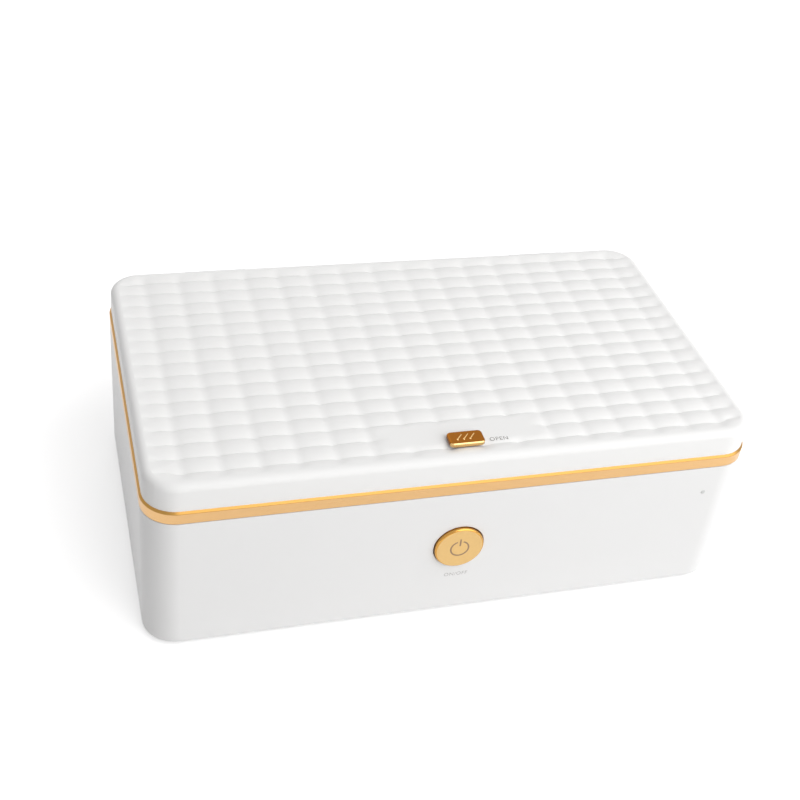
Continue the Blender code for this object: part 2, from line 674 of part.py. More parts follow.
def make_chamber_liner():
    """The bright tub that is the chamber, with a wide flange that decks over the compartments."""
    bm = bmesh.new()
    length, depth = INSIDE_LENGTH - 2 * SEAT_GAP, INSIDE_DEPTH - 2 * SEAT_GAP
    add_slab(bm, length, depth, DECK_BOTTOM, DECK_TOP, corner=INSIDE_CORNER - SEAT_GAP)
    liner = hang(mesh_object("chamber_liner", bm, BOX, MIRROR_ALUMINIUM), case_origin)

    bm = bmesh.new()
    high = DECK_TOP - LINER_WALL / 2
    add_slab(bm, LINER_LENGTH, LINER_DEPTH, LINER_BOTTOM, high, y=LINER_Y, corner=LINER_CORNER)
    combine(liner, "UNION", "liner_tub", bm)

    bm = bmesh.new()
    high, corner = DECK_TOP + OVERRUN, LINER_CORNER - LINER_WALL
    add_slab(bm, CHAMBER_LENGTH, CHAMBER_DEPTH, CHAMBER_FLOOR, high, y=LINER_Y, corner=corner)
    combine(liner, "DIFFERENCE", "liner_hollow", bm)

    bm = bmesh.new()
    left, right = NOSE_TIP - HOOK_PLAY, HOOK_LENGTH / 2 + LATCH_TRAVEL + HOOK_PLAY
    front, rear = LATCH_Y - HOOK_DEPTH / 2 - HOOK_SWING, LATCH_Y + HOOK_DEPTH / 2 + HOOK_PLAY
    low, high = DECK_BOTTOM - OVERRUN, DECK_TOP + OVERRUN
    add_slab(bm, right - left, rear - front, low, high, x=(left + right) / 2, y=(front + rear) / 2)
    for _, side in LEFT_AND_RIGHT:
        x = side * HOLDER_X
        start, end = (x, LINER_Y, LINER_BOTTOM - OVERRUN), (x, LINER_Y, CHAMBER_FLOOR + OVERRUN)
        add_rod(bm, HOLDER_STUB_RADIUS + SEAT_GAP, start, end, SMALL_SIDES)
    combine(liner, "DIFFERENCE", "liner_holes", bm)
    return smooth(liner)


def make_lamps():
    """Two low-pressure tubes side by side, and the ceramic holders that carry their ends."""
    half = LAMP_LENGTH / 2
    profile = [
        (0, half),
        (LAMP_RADIUS - LAMP_EDGE, half),
        (LAMP_RADIUS, half - LAMP_EDGE),
        (LAMP_RADIUS, LAMP_EDGE - half),
        (LAMP_RADIUS - LAMP_EDGE, -half),
        (0, -half),
    ]
    rows = [("front", LINER_Y - LAMP_SPACING / 2), ("rear", LINER_Y + LAMP_SPACING / 2)]
    for name, y in rows:
        hang(turned(f"uv_lamp_{name}", profile, QUARTZ), case_origin, (0, y, LAMP_Z), ALONG_X)

    for name, side in LEFT_AND_RIGHT:
        x = side * HOLDER_X
        bm = bmesh.new()
        low, high = FLOOR_SEAT, FLOOR_SEAT + HOLDER_HEIGHT
        add_slab(bm, HOLDER_LENGTH, HOLDER_DEPTH, low, high, x=x, y=LINER_Y)
        holder = hang(mesh_object(f"lamp_holder_{name}", bm, BOX, CERAMIC), case_origin)
        bm = bmesh.new()
        stub = (x, LINER_Y, LINER_BOTTOM - HOLDER_STUB_DROP + LINER_WALL)
        radius = HOLDER_STUB_RADIUS - SEAT_GAP
        add_rod(bm, radius, stub, (x, LINER_Y, FLOOR_SEAT + BITE), SMALL_SIDES)
        combine(holder, "UNION", f"holder_stub_{name}", bm)
        bm = bmesh.new()
        for _, y in rows:
            start, end = x - HOLDER_LENGTH / 2 - OVERRUN, x + HOLDER_LENGTH / 2 + OVERRUN
            add_rod(bm, LAMP_RADIUS + SEAT_GAP, (start, y, LAMP_Z), (end, y, LAMP_Z))
        combine(holder, "DIFFERENCE", f"holder_bores_{name}", bm)
        smooth(holder)


def make_lamp_reflector():
    """A bright folded sheet under the tubes, with a ridge between them and turned-up edges."""
    low = FLOOR_SEAT + REFLECTOR_THICKNESS / 2
    outline = [
        (-REFLECTOR_HALF_DEPTH, low + REFLECTOR_RISE),
        (-REFLECTOR_SHOULDER, low),
        (-RIDGE_HALF_DEPTH, low),
        (0, low + RIDGE_HEIGHT),
        (RIDGE_HALF_DEPTH, low),
        (REFLECTOR_SHOULDER, low),
        (REFLECTOR_HALF_DEPTH, low + REFLECTOR_RISE),
    ]
    bm = bmesh.new()
    points = [bm.verts.new((-REFLECTOR_LENGTH / 2, LINER_Y + y, z)) for y, z in outline]
    edges = [bm.edges.new(pair) for pair in zip(points, points[1:])]
    made = bmesh.ops.extrude_edge_only(bm, edges=edges)["geom"]
    drawn = [item for item in made if isinstance(item, bmesh.types.BMVert)]
    bmesh.ops.translate(bm, vec=(REFLECTOR_LENGTH, 0, 0), verts=drawn)
    bmesh.ops.recalc_face_normals(bm, faces=bm.faces)
    sheet = hang(mesh_object("lamp_reflector", bm, BOX, MIRROR_ALUMINIUM), case_origin)
    wall = sheet.modifiers.new("sheet", "SOLIDIFY")
    wall.thickness = REFLECTOR_THICKNESS
    wall.offset = 0
    return sheet


def make_lamp_guard():
    """The slotted bridge over the lamps, on which the things to be treated lie."""
    bm = bmesh.new()
    low, high = FLOOR_SEAT, FLOOR_SEAT + GUARD_HEIGHT
    add_slab(bm, GUARD_LENGTH, GUARD_DEPTH, low, high, y=LINER_Y)
    guard = hang(mesh_object("lamp_guard", bm, BOX, MIRROR_ALUMINIUM), case_origin)

    bm = bmesh.new()
    length, depth = GUARD_LENGTH + 2 * OVERRUN, GUARD_DEPTH - 2 * GUARD_SHEET
    add_slab(bm, length, depth, low - OVERRUN, high - GUARD_SHEET, y=LINER_Y)
    combine(guard, "DIFFERENCE", "guard_underside", bm)

    bm = bmesh.new()
    low, high = high - OVERRUN, high + OVERRUN
    for index in range(GUARD_SLOT_COUNT):
        x = (index - (GUARD_SLOT_COUNT - 1) / 2) * GUARD_SLOT_PITCH
        for side in (-1, 1):
            y = LINER_Y + side * LAMP_SPACING / 2
            add_slab(bm, GUARD_SLOT_WIDTH, GUARD_SLOT_LENGTH, low, high, x=x, y=y)
    combine(guard, "DIFFERENCE", "guard_slots", bm)
    return guard


def make_power_board():
    """The lamp ballast board on the bottom cover, with its transformer, capacitor and inlet."""
    bm = bmesh.new()
    add_slab(bm, BOARD_LENGTH, BOARD_DEPTH, BOARD_BOTTOM, BOARD_TOP, y=BOARD_Y)
    hang(mesh_object("main_board", bm, BOX, GREEN_BOARD), case_origin)

    bm = bmesh.new()
    high = BOARD_SEAT + TRANSFORMER_HEIGHT
    x = TRANSFORMER_INSET - BOARD_LENGTH / 2
    add_slab(bm, TRANSFORMER_LENGTH, TRANSFORMER_DEPTH, BOARD_SEAT, high, x=x, y=BOARD_Y)
    core = hang(mesh_object("ballast_transformer", bm, BOX, FERRITE), case_origin)
    bm = bmesh.new()
    for side in (-1, 1):
        y = BOARD_Y + side * TRANSFORMER_DEPTH / 2
        length = WINDING_LENGTH_SHARE * TRANSFORMER_LENGTH
        depth = WINDING_DEPTH_SHARE * TRANSFORMER_DEPTH
        add_slab(bm, length, depth, BOARD_SEAT - OVERRUN, high + OVERRUN, x=x, y=y)
    combine(core, "DIFFERENCE", "winding_windows", bm)

    half = CAPACITOR_LENGTH / 2
    profile = [
        (0, half),
        (CAPACITOR_RADIUS - CAPACITOR_EDGE, half),
        (CAPACITOR_RADIUS, half - CAPACITOR_EDGE),
        (CAPACITOR_RADIUS, -half),
        (0, -half),
    ]
    place = (BOARD_LENGTH / 2 - CAPACITOR_INSET, BOARD_Y, BOARD_SEAT + CAPACITOR_RADIUS)
    hang(turned("smoothing_capacitor", profile, SLEEVE_BLUE), case_origin, place, ALONG_X)


def make_dc_inlet():
    """The round power socket on the board's rear edge, with its nose in the rear wall."""
    bm = bmesh.new()
    rear = INSIDE_REAR - SEAT_GAP
    y = rear - INLET_DEPTH / 2
    add_slab(bm, INLET_WIDTH, INLET_DEPTH, BOARD_SEAT, BOARD_SEAT + INLET_HEIGHT, x=INLET_X, y=y)
    inlet = hang(mesh_object("dc_inlet", bm, BOX, BLACK_PLASTIC), case_origin)
    face = REAR - INLET_RECESS
    bm = bmesh.new()
    add_rod(bm, INLET_NOSE_RADIUS, (INLET_X, rear - BITE, INLET_Z), (INLET_X, face, INLET_Z))
    combine(inlet, "UNION", "inlet_nose", bm)
    bm = bmesh.new()
    bottom = face - INLET_BORE_DEPTH
    add_rod(bm, INLET_BORE_RADIUS, (INLET_X, bottom, INLET_Z), (INLET_X, face + OVERRUN, INLET_Z))
    combine(inlet, "DIFFERENCE", "inlet_bore", bm)
    bm = bmesh.new()
    start, end = (INLET_X, bottom - BITE, INLET_Z), (INLET_X, face - BITE, INLET_Z)
    add_rod(bm, INLET_PIN_RADIUS, start, end, SMALL_SIDES)
    combine(inlet, "UNION", "inlet_pin", bm)
    return smooth(inlet)


def make_power_button():
    """The gold button, kept in its hole by a flange, with a stem that presses the switch."""
    face = -BUTTON_FACE + FRONT
    flange_front, flange_rear = FRONT - FLANGE_FRONT, FRONT - FLANGE_FRONT - BUTTON_FLANGE
    profile = [
        (0, face),
        (BUTTON_RADIUS - BUTTON_EDGE, face),
        (BUTTON_RADIUS, face - BUTTON_EDGE),
        (BUTTON_RADIUS, flange_front),
        (BUTTON_FLANGE_RADIUS, flange_front),
        (BUTTON_FLANGE_RADIUS, flange_rear),
        (BUTTON_STEM_RADIUS, flange_rear),
        (BUTTON_STEM_RADIUS, FRONT - STEM_END),
        (0, FRONT - STEM_END),
    ]
    button = turned("power_button", profile, GOLD, 2 * ROUND_SIDES)
    hang(button, button_axis, (0, FRONT, BUTTON_Z), FACE_FRONT)

    profile = [(0, 0), (PLUNGER_RADIUS, 0), (PLUNGER_RADIUS, -PLUNGER_LENGTH), (0, -PLUNGER_LENGTH)]
    plunger = turned("switch_plunger", profile, BLACK_PLASTIC, SMALL_SIDES)
    hang(plunger, button_axis, (0, PLUNGER_FRONT, BUTTON_Z), FACE_FRONT)


def make_switch():
    """The push switch on its own small board, which two screws hold to the posts behind the button."""
    bm = bmesh.new()
    low, high = BUTTON_Z - SWITCH_WIDTH / 2, BUTTON_Z + SWITCH_WIDTH / 2
    y = (SWITCH_FRONT + SWITCH_REAR) / 2
    add_slab(bm, SWITCH_WIDTH, SWITCH_DEPTH, low, high, y=y)
    switch = hang(mesh_object("tact_switch", bm, BOX, BLACK_PLASTIC), case_origin)
    bm = bmesh.new()
    start, end = (0, SWITCH_FRONT - OVERRUN, BUTTON_Z), (0, SWITCH_REAR - SWITCH_BASE, BUTTON_Z)
    add_rod(bm, PLUNGER_RADIUS + SEAT_GAP, start, end, SMALL_SIDES)
    combine(switch, "DIFFERENCE", "plunger_bore", bm)

    bm = bmesh.new()
    low, high = BUTTON_Z - SWITCH_BOARD_HEIGHT / 2, BUTTON_Z + SWITCH_BOARD_HEIGHT / 2
    y = (SWITCH_BOARD_FRONT + SWITCH_BOARD_REAR) / 2
    add_slab(bm, SWITCH_BOARD_LENGTH, BOARD_THICKNESS, low, high, y=y)
    board = hang(mesh_object("switch_board", bm, BOX, GREEN_BOARD), case_origin)
    bm = bmesh.new()
    for name, side in LEFT_AND_RIGHT:
        x = side * SWITCH_POST_SPACING / 2
        start, end = SWITCH_BOARD_FRONT - OVERRUN, SWITCH_BOARD_REAR + OVERRUN
        add_rod(bm, SCREW_HOLE_RADIUS, (x, start, BUTTON_Z), (x, end, BUTTON_Z), SMALL_SIDES)
        place = (x, SWITCH_BOARD_REAR + SEAT_GAP, BUTTON_Z)
        length = BOARD_SCREW_LENGTH - 2 * SEAT_GAP
        screw_piece(f"board_screw_{name}", length, case_origin, place, FACE_REAR)
    combine(board, "DIFFERENCE", "board_holes", bm)


def make_status_light():
    """The tiny lens in the front wall and the light that is pushed into its rear."""
    flange_front, flange_rear = FRONT - FLANGE_FRONT, FRONT - FLANGE_FRONT - LENS_FLANGE
    pocket = flange_rear + LENS_POCKET
    profile = [
        (0, LENS_PROUD),
        (LENS_RADIUS, LENS_PROUD),
        (LENS_RADIUS, flange_front),
        (LENS_FLANGE_RADIUS, flange_front),
        (LENS_FLANGE_RADIUS, flange_rear),
        (LED_RADIUS + SEAT_GAP, flange_rear),
        (LED_RADIUS + SEAT_GAP, pocket),
        (0, pocket),
    ]
    place = (LENS_X, FRONT, LENS_Z)
    hang(turned("status_lens", profile, LENS_GREY, SMALL_SIDES), case_origin, place, FACE_FRONT)
    tip = pocket - SEAT_GAP
    profile = [(0, tip), (LED_RADIUS, tip), (LED_RADIUS, tip - LED_LENGTH), (0, tip - LED_LENGTH)]
    hang(turned("status_led", profile, LENS_GREY, SMALL_SIDES), case_origin, place, FACE_FRONT)


def hinge_screw_places(side):
    middle = side * HINGE_X
    return (middle - HINGE_SCREW_SPACING / 2, middle + HINGE_SCREW_SPACING / 2)


def hinge_screw_level():
    return HINGE_Z - HINGE_SCREW_DROP


def add_knuckle(bm, radius, left, right):
    """Adds a cylinder on the hinge axis."""
    add_rod(bm, radius, (left, HINGE_Y, HINGE_Z), (right, HINGE_Y, HINGE_Z))


def make_hinge(name, side):
    """One hinge: the bracket on the case, the arm on the lid and the pin through both."""
    middle = side * HINGE_X
    left, right = middle - HINGE_WIDTH / 2, middle + HINGE_WIDTH / 2
    inner = LID_KNUCKLE_WIDTH / 2
    outer_width = HINGE_WIDTH / 2 - inner - SEAT_GAP

    bm = bmesh.new()
    high = HINGE_Z - BRACKET_DROP
    y = REAR + SEAT_GAP + HINGE_SHEET / 2
    add_slab(bm, HINGE_WIDTH, HINGE_SHEET, high - BRACKET_HEIGHT, high, x=middle, y=y)
    bracket = hang(mesh_object(f"hinge_bracket_{name}", bm, BOX, WHITE_PLASTIC), case_origin)
    webs, knuckles = bmesh.new(), bmesh.new()
    for hand in (-1, 1):
        x = middle + hand * (HINGE_WIDTH - outer_width) / 2
        y = REAR + SEAT_GAP + WEB_INSET + WEB_DEPTH / 2
        width = outer_width - 2 * WEB_INSET
        add_slab(webs, width, WEB_DEPTH, HINGE_Z - WEB_DROP, HINGE_Z, x=x, y=y)
        add_knuckle(knuckles, KNUCKLE_RADIUS, x - outer_width / 2, x + outer_width / 2)
    combine(bracket, "UNION", f"bracket_webs_{name}", webs)
    combine(bracket, "UNION", f"bracket_knuckles_{name}", knuckles)
    bm = bmesh.new()
    add_knuckle(bm, HINGE_BORE_RADIUS, left - OVERRUN, right + OVERRUN)
    level = hinge_screw_level()
    for number, x in enumerate(hinge_screw_places(side), 1):
        start, end = (x, REAR - OVERRUN, level), (x, REAR + OVERRUN, level)
        add_rod(bm, SCREW_HOLE_RADIUS, start, end, SMALL_SIDES)
        seat = (x, REAR + HINGE_SHEET + 2 * SEAT_GAP, level)
        title = f"hinge_screw_{name}_{number}"
        screw_piece(title, HINGE_SCREW_LENGTH, case_origin, seat, FACE_REAR)
    combine(bracket, "DIFFERENCE", f"bracket_bore_{name}", bm)
    smooth(bracket)

    bm = bmesh.new()
    face = REAR - LID_INSET + SEAT_GAP
    low = HINGE_Z + ARM_RISE
    add_slab(bm, HINGE_WIDTH, HINGE_SHEET, low, low + ARM_HEIGHT, x=middle, y=face + HINGE_SHEET / 2)
    arm = hang(mesh_object(f"lid_arm_{name}", bm, BOX, WHITE_PLASTIC), lid_axis)
    bm = bmesh.new()
    low = HINGE_Z + NECK_RISE
    width = LID_KNUCKLE_WIDTH - 2 * WEB_INSET
    front, rear = face + SEAT_GAP, HINGE_Y
    y = (front + rear) / 2
    add_slab(bm, width, rear - front, low, low + NECK_HEIGHT, x=middle, y=y)
    combine(arm, "UNION", f"arm_neck_{name}", bm)
    bm = bmesh.new()
    add_knuckle(bm, KNUCKLE_RADIUS, middle - inner, middle + inner)
    combine(arm, "UNION", f"arm_knuckle_{name}", bm)
    bm = bmesh.new()
    add_knuckle(bm, HINGE_BORE_RADIUS, left - OVERRUN, right + OVERRUN)
    combine(arm, "DIFFERENCE", f"arm_bore_{name}", bm)
    smooth(arm)

    half = HINGE_WIDTH / 2
    crown = HINGE_PIN_RADIUS - HINGE_PIN_EDGE
    profile = [
        (0, half),
        (crown, half),
        (HINGE_PIN_RADIUS, half - HINGE_PIN_EDGE),
        (HINGE_PIN_RADIUS, HINGE_PIN_EDGE - half),
        (crown, -half),
        (0, -half),
    ]
    pin = turned(f"hinge_pin_{name}", profile, STEEL)
    hang(pin, case_origin, (middle, HINGE_Y, HINGE_Z), ALONG_X)


def hump(distance, pitch, count):
    """How high the quilting stands along one direction: 0 in a seam and 1 on a crest."""
    cell = distance / pitch
    if abs(cell) > (count - 1) / 2:
        return 1.0
    return 1.0 - (2 * abs(cell - round(cell))) ** 2


def quilt_level(x, y):
    """The height of the lid's quilted face. A flat patch carries the slider."""
    column = x / COLUMN_PITCH
    row = -y / ROW_PITCH - PATCH_FIRST_ROW - (PATCH_ROWS - 1) / 2
    if (
        abs(column) < PATCH_COLUMNS / 2 - PATCH_EDGE_SHARE
        and abs(row) < PATCH_ROWS / 2 - PATCH_EDGE_SHARE
    ):
        return PATCH_TOP
    across = COLUMN_RELIEF * (1 - hump(x, COLUMN_PITCH, QUILT_COLUMNS))
    along = ROW_RELIEF * (1 - hump(y, ROW_PITCH, QUILT_ROWS))
    return QUILT_CREST - across - along


def quilt_block():
    """A block with the quilted face on top, wider than the lid, for the lid to be cut to."""
    bm = bmesh.new()
    across, along = 2 * (QUILT_COLUMNS + 1), 2 * (QUILT_ROWS + 1)
    bmesh.ops.create_grid(bm, x_segments=across, y_segments=along, size=1.0)
    for vert in bm.verts:
        vert.co.x *= across * COLUMN_PITCH / 4
        vert.co.y *= along * ROW_PITCH / 4
        vert.co.z = quilt_level(vert.co.x, vert.co.y)
    made = bmesh.ops.extrude_face_region(bm, geom=list(bm.faces))["geom"]
    for vert in made:
        if isinstance(vert, bmesh.types.BMVert):
            vert.co.z = LID_BOTTOM - OVERRUN
    bmesh.ops.recalc_face_normals(bm, faces=bm.faces)
    return bm


def make_lid_shell():
    """The white lid: quilted on top, hollow below, with bosses for the liner's screws."""
    bm = bmesh.new()
    add_slab(bm, LID_LENGTH, LID_DEPTH, LID_BOTTOM, LID_TOP, corner=LID_CORNER)
    bevel_rim(bm, LID_TOP, LID_FILLET, LID_FILLET_STEPS)
    lid = hang(mesh_object("lid_shell", bm, BOX, QUILTED_PLASTIC), lid_axis)
    combine(lid, "INTERSECT", "lid_quilting", quilt_block())

    bm = bmesh.new()
    low, corner = LID_BOTTOM - OVERRUN, LID_INSIDE_CORNER
    add_slab(bm, LID_INSIDE_LENGTH, LID_INSIDE_DEPTH, low, LID_CEILING, corner=corner)
    combine(lid, "DIFFERENCE", "lid_hollow", bm)

    bm = bmesh.new()
    for _, side_x, side_y in FOUR_CORNERS:
        x, y = side_x * LID_BOSS_X, side_y * LID_BOSS_Y
        start, end = (x, y, PAN_FLOOR + SEAT_GAP), (x, y, LID_CEILING + BITE)
        add_rod(bm, LID_BOSS_RADIUS, start, end, SMALL_SIDES)
    low, high = LID_CEILING - SPRING_RIB_HEIGHT, LID_CEILING + BITE
    x = RIB_START + SPRING_RIB / 2
    add_slab(bm, SPRING_RIB, SPRING_RIB_DEPTH, low, high, x=x, y=LATCH_Y)
    combine(lid, "UNION", "lid_bosses", bm)

    bm = bmesh.new()
    left, right = -STEM_LENGTH / 2 - SEAT_GAP, STEM_LENGTH / 2 + LATCH_TRAVEL + SEAT_GAP
    depth = STEM_DEPTH + 2 * SEAT_GAP
    low, high = LID_CEILING - SEAT_GAP, LID_TOP + OVERRUN
    add_slab(bm, right - left, depth, low, high, x=(left + right) / 2, y=LATCH_Y)
    for _, side_x, side_y in FOUR_CORNERS:
        x, y = side_x * LID_BOSS_X, side_y * LID_BOSS_Y
        start, end = (x, y, PAN_FLOOR - OVERRUN), (x, y, PAN_BOTTOM + LID_SCREW_LENGTH)
        add_rod(bm, SCREW_HOLE_RADIUS, start, end, SMALL_SIDES)
    combine(lid, "DIFFERENCE", "lid_holes", bm)
    return smooth(lid)


def make_lid_liner():
    """The bright pan under the lid that closes the chamber, and the four screws that hold it."""
    bm = bmesh.new()
    add_slab(bm, PAN_LENGTH, PAN_DEPTH, PAN_BOTTOM, PAN_FLANGE_TOP - BITE, corner=PAN_CORNER)
    pan = hang(mesh_object("lid_liner", bm, BOX, MIRROR_ALUMINIUM), lid_axis)
    bm = bmesh.new()
    length, depth = LID_INSIDE_LENGTH - 2 * SEAT_GAP, LID_INSIDE_DEPTH - 2 * SEAT_GAP
    corner = LID_INSIDE_CORNER - SEAT_GAP
    add_slab(bm, length, depth, PAN_FLANGE_BOTTOM, PAN_FLANGE_TOP, corner=corner)
    combine(pan, "UNION", "pan_flange", bm)
    bm = bmesh.new()
    length, depth = PAN_LENGTH - 2 * PAN_SHEET, PAN_DEPTH - 2 * PAN_SHEET
    corner = PAN_CORNER - PAN_SHEET
    add_slab(bm, length, depth, PAN_FLOOR, PAN_FLANGE_TOP + OVERRUN, corner=corner)
    combine(pan, "DIFFERENCE", "pan_hollow", bm)

    bm = bmesh.new()
    left, right = -HOOK_LENGTH / 2 - HOOK_PLAY, HOOK_LENGTH / 2 + LATCH_TRAVEL + HOOK_PLAY
    depth = HOOK_DEPTH + 2 * HOOK_PLAY
    low, high = PAN_BOTTOM - OVERRUN, PAN_FLOOR + OVERRUN
    add_slab(bm, right - left, depth, low, high, x=(left + right) / 2, y=LATCH_Y)
    for name, side_x, side_y in FOUR_CORNERS:
        x, y = side_x * LID_BOSS_X, side_y * LID_BOSS_Y
        add_rod(bm, SCREW_HOLE_RADIUS, (x, y, low), (x, y, high), SMALL_SIDES)
        place = (x, y, PAN_BOTTOM - SEAT_GAP)
        screw_piece(f"lid_screw_{name}", LID_SCREW_LENGTH, lid_axis, place, FACE_DOWN)
    combine(pan, "DIFFERENCE", "pan_holes", bm)
    return smooth(pan)


def make_lid_seal():
    """The silicone ring under the lid that lies on the deck round the chamber."""
    bm = bmesh.new()
    length, depth = PAN_LENGTH - 2 * SEAL_INSET, PAN_DEPTH - 2 * SEAL_INSET
    corner = PAN_CORNER - SEAL_INSET
    add_slab(bm, length, depth, SEAL_BOTTOM, SEAL_TOP, corner=corner)
    seal = hang(mesh_object("lid_seal", bm, BOX, SILICONE), lid_axis)
    bm = bmesh.new()
    low, high = SEAL_BOTTOM - OVERRUN, SEAL_TOP + OVERRUN
    length, depth, corner = length - 2 * SEAL_WIDTH, depth - 2 * SEAL_WIDTH, corner - SEAL_WIDTH
    add_slab(bm, length, depth, low, high, corner=corner)
    combine(seal, "DIFFERENCE", "seal_middle", bm)
    return smooth(seal)


def make_lid_sensor():
    """The magnet in the lid's pan and the reed sensor under the deck, which stop the lamps."""
    low = PAN_FLOOR + SEAT_GAP
    profile = [(0, MAGNET_HEIGHT), (MAGNET_RADIUS, MAGNET_HEIGHT), (MAGNET_RADIUS, 0), (0, 0)]
    hang(turned("lid_magnet", profile, STEEL), lid_axis, (MAGNET_X, MAGNET_Y, low))
    bm = bmesh.new()
    high = DECK_BOTTOM - SEAT_GAP
    low = high - SENSOR_HEIGHT
    add_slab(bm, SENSOR_LENGTH, SENSOR_DEPTH, low, high, x=MAGNET_X, y=MAGNET_Y)
    hang(mesh_object("reed_sensor", bm, BOX, BLACK_PLASTIC), case_origin)


def make_latch_slider():
    """The gold slider on the lid, with the stem that passes through the lid's slot."""
    bm = bmesh.new()
    high = SLIDER_BOTTOM + SLIDER_HEIGHT
    y = LATCH_Y - SLIDER_FORWARD
    add_slab(bm, SLIDER_LENGTH, SLIDER_DEPTH, SLIDER_BOTTOM, high, y=y, corner=SLIDER_CORNER)
    bevel_rim(bm, high, SLIDER_EDGE, 2)
    slider = hang(mesh_object("latch_slider", bm, BOX, GOLD), latch_rail)
    bm = bmesh.new()
    add_slab(bm, STEM_LENGTH, STEM_DEPTH, LID_CEILING, SLIDER_BOTTOM + BITE, y=LATCH_Y)
    combine(slider, "UNION", "slider_stem", bm)
    return smooth(slider)


def make_latch_hook():
    """The plate under the slider and the hook that hangs from it through pan and deck."""
    bm = bmesh.new()
    add_slab(bm, CARRIER_LENGTH, CARRIER_DEPTH, CARRIER_BOTTOM, CARRIER_TOP, y=LATCH_Y)
    hook = hang(mesh_object("latch_hook", bm, BOX, STEEL), latch_rail)
    bm = bmesh.new()
    high = CARRIER_TOP - CARRIER_THICKNESS / 2
    add_slab(bm, HOOK_LENGTH, HOOK_DEPTH, HOOK_BOTTOM, high, y=LATCH_Y)
    combine(hook, "UNION", "hook_post", bm)
    bm = bmesh.new()
    depth = HOOK_DEPTH - 2 * SEAT_GAP
    low, high = HOOK_BOTTOM + SEAT_GAP, HOOK_BOTTOM + NOSE_HEIGHT
    add_slab(bm, -NOSE_TIP, depth, low, high, x=NOSE_TIP / 2, y=LATCH_Y)
    combine(hook, "UNION", "hook_nose", bm)


def make_latch_catch():
    """The steel catch on the front wall, whose lip the hook's nose passes under."""
    bm = bmesh.new()
    high = CATCH_LIP_BOTTOM + CATCH_SHEET
    right = CATCH_LIP_END
    left = right - CATCH_LENGTH
    front = INSIDE_FRONT + SEAT_GAP
    y = front + CATCH_SHEET / 2
    add_slab(bm, CATCH_LENGTH, CATCH_SHEET, high - CATCH_HEIGHT, high, x=(left + right) / 2, y=y)
    catch = hang(mesh_object("latch_catch", bm, BOX, STEEL), case_origin)
    bm = bmesh.new()
    start = front + CATCH_SHEET / 2
    y = (start + front + CATCH_LIP_DEPTH) / 2
    x = right - SEAT_GAP - CATCH_LIP_LENGTH / 2
    depth = front + CATCH_LIP_DEPTH - start
    add_slab(bm, CATCH_LIP_LENGTH, depth, CATCH_LIP_BOTTOM, high - SEAT_GAP / 2, x=x, y=y)
    combine(catch, "UNION", "catch_lip", bm)


def tube_object(name, points, radius, material):
    """A round wire along a list of points, with its ends capped."""
    curve = bpy.data.curves.new(name, "CURVE")
    curve.dimensions = "3D"
    curve.bevel_depth = radius
    curve.bevel_resolution = 1
    curve.use_fill_caps = True
    spline = curve.splines.new("POLY")
    spline.points.add(len(points) - 1)
    for target, point in zip(spline.points, points):
        target.co = (*point, 1.0)
    curve.materials.append(material)
    obj = bpy.data.objects.new(name, curve)
    BOX.objects.link(obj)
    return obj


def make_latch_spring():
    """The compression spring that pushes the hook back over the catch."""
    points = []
    count = SPRING_TURNS * SPRING_POINTS_PER_TURN
    for index in range(count + 1):
        angle = math.tau * index / SPRING_POINTS_PER_TURN
        x = SPRING_START + SPRING_LENGTH * index / count
        y = LATCH_Y + SPRING_RADIUS * math.cos(angle)
        points.append((x, y, SPRING_Z + SPRING_RADIUS * math.sin(angle)))
    hang(tube_object("latch_spring", points, SPRING_WIRE_RADIUS, STEEL), lid_axis)


def rounded_route(corners):
    """Points along a route through its corners, each corner eased by a short curve."""
    corners = [Vector(corner) for corner in corners]
    route = [corners[0]]
    for before, corner, after in zip(corners, corners[1:], corners[2:]):
        start = corner.lerp(before, LEAD_BEND_SHARE)
        end = corner.lerp(after, LEAD_BEND_SHARE)
        for step in range(LEAD_STEPS + 1):
            share = step / LEAD_STEPS
            route.append(start.lerp(corner, share).lerp(corner.lerp(end, share), share))
    return route + [corners[-1]]


def lead_piece(name, corners):
    hang(tube_object(name, rounded_route(corners), LEAD_RADIUS, WIRE_RED), case_origin)


def make_leads():
    """The wires from the board to the lamps, the switch and the sensor."""
    level = BOARD_SEAT + LEAD_RADIUS + LEAD_CLEARANCE
    landing = BOARD_SEAT
    for name, side in LEFT_AND_RIGHT:
        x = side * HOLDER_X
        stub = LINER_BOTTOM - HOLDER_STUB_DROP + LINER_WALL - SEAT_GAP
        inner = side * (BOARD_LENGTH / 2 - STANDOFF_INSET)
        corners = [
            (x, LINER_Y, stub),
            (x, LINER_Y, level),
            (inner, BOARD_Y, level),
            (inner, BOARD_Y, landing),
        ]
        lead_piece(f"lamp_lead_{name}", corners)

    x = SWITCH_LEAD_SHARE * SWITCH_BOARD_LENGTH
    y = SWITCH_BOARD_REAR - LEAD_RADIUS
    top = BUTTON_Z - SWITCH_BOARD_HEIGHT / 2 - SEAT_GAP
    front_edge = BOARD_Y - BOARD_DEPTH / 2 + STANDOFF_INSET
    corners = [(x, y, top), (x, y, level), (x, front_edge, level), (x, front_edge, landing)]
    lead_piece("switch_lead", corners)

    top = DECK_BOTTOM - 2 * SEAT_GAP - SENSOR_HEIGHT
    x = 2 * STANDOFF_INSET - BOARD_LENGTH / 2
    corners = [
        (MAGNET_X, MAGNET_Y, top),
        (MAGNET_X, MAGNET_Y, level),
        (x, front_edge, level),
        (x, front_edge, landing),
    ]
    lead_piece("sensor_lead", corners)


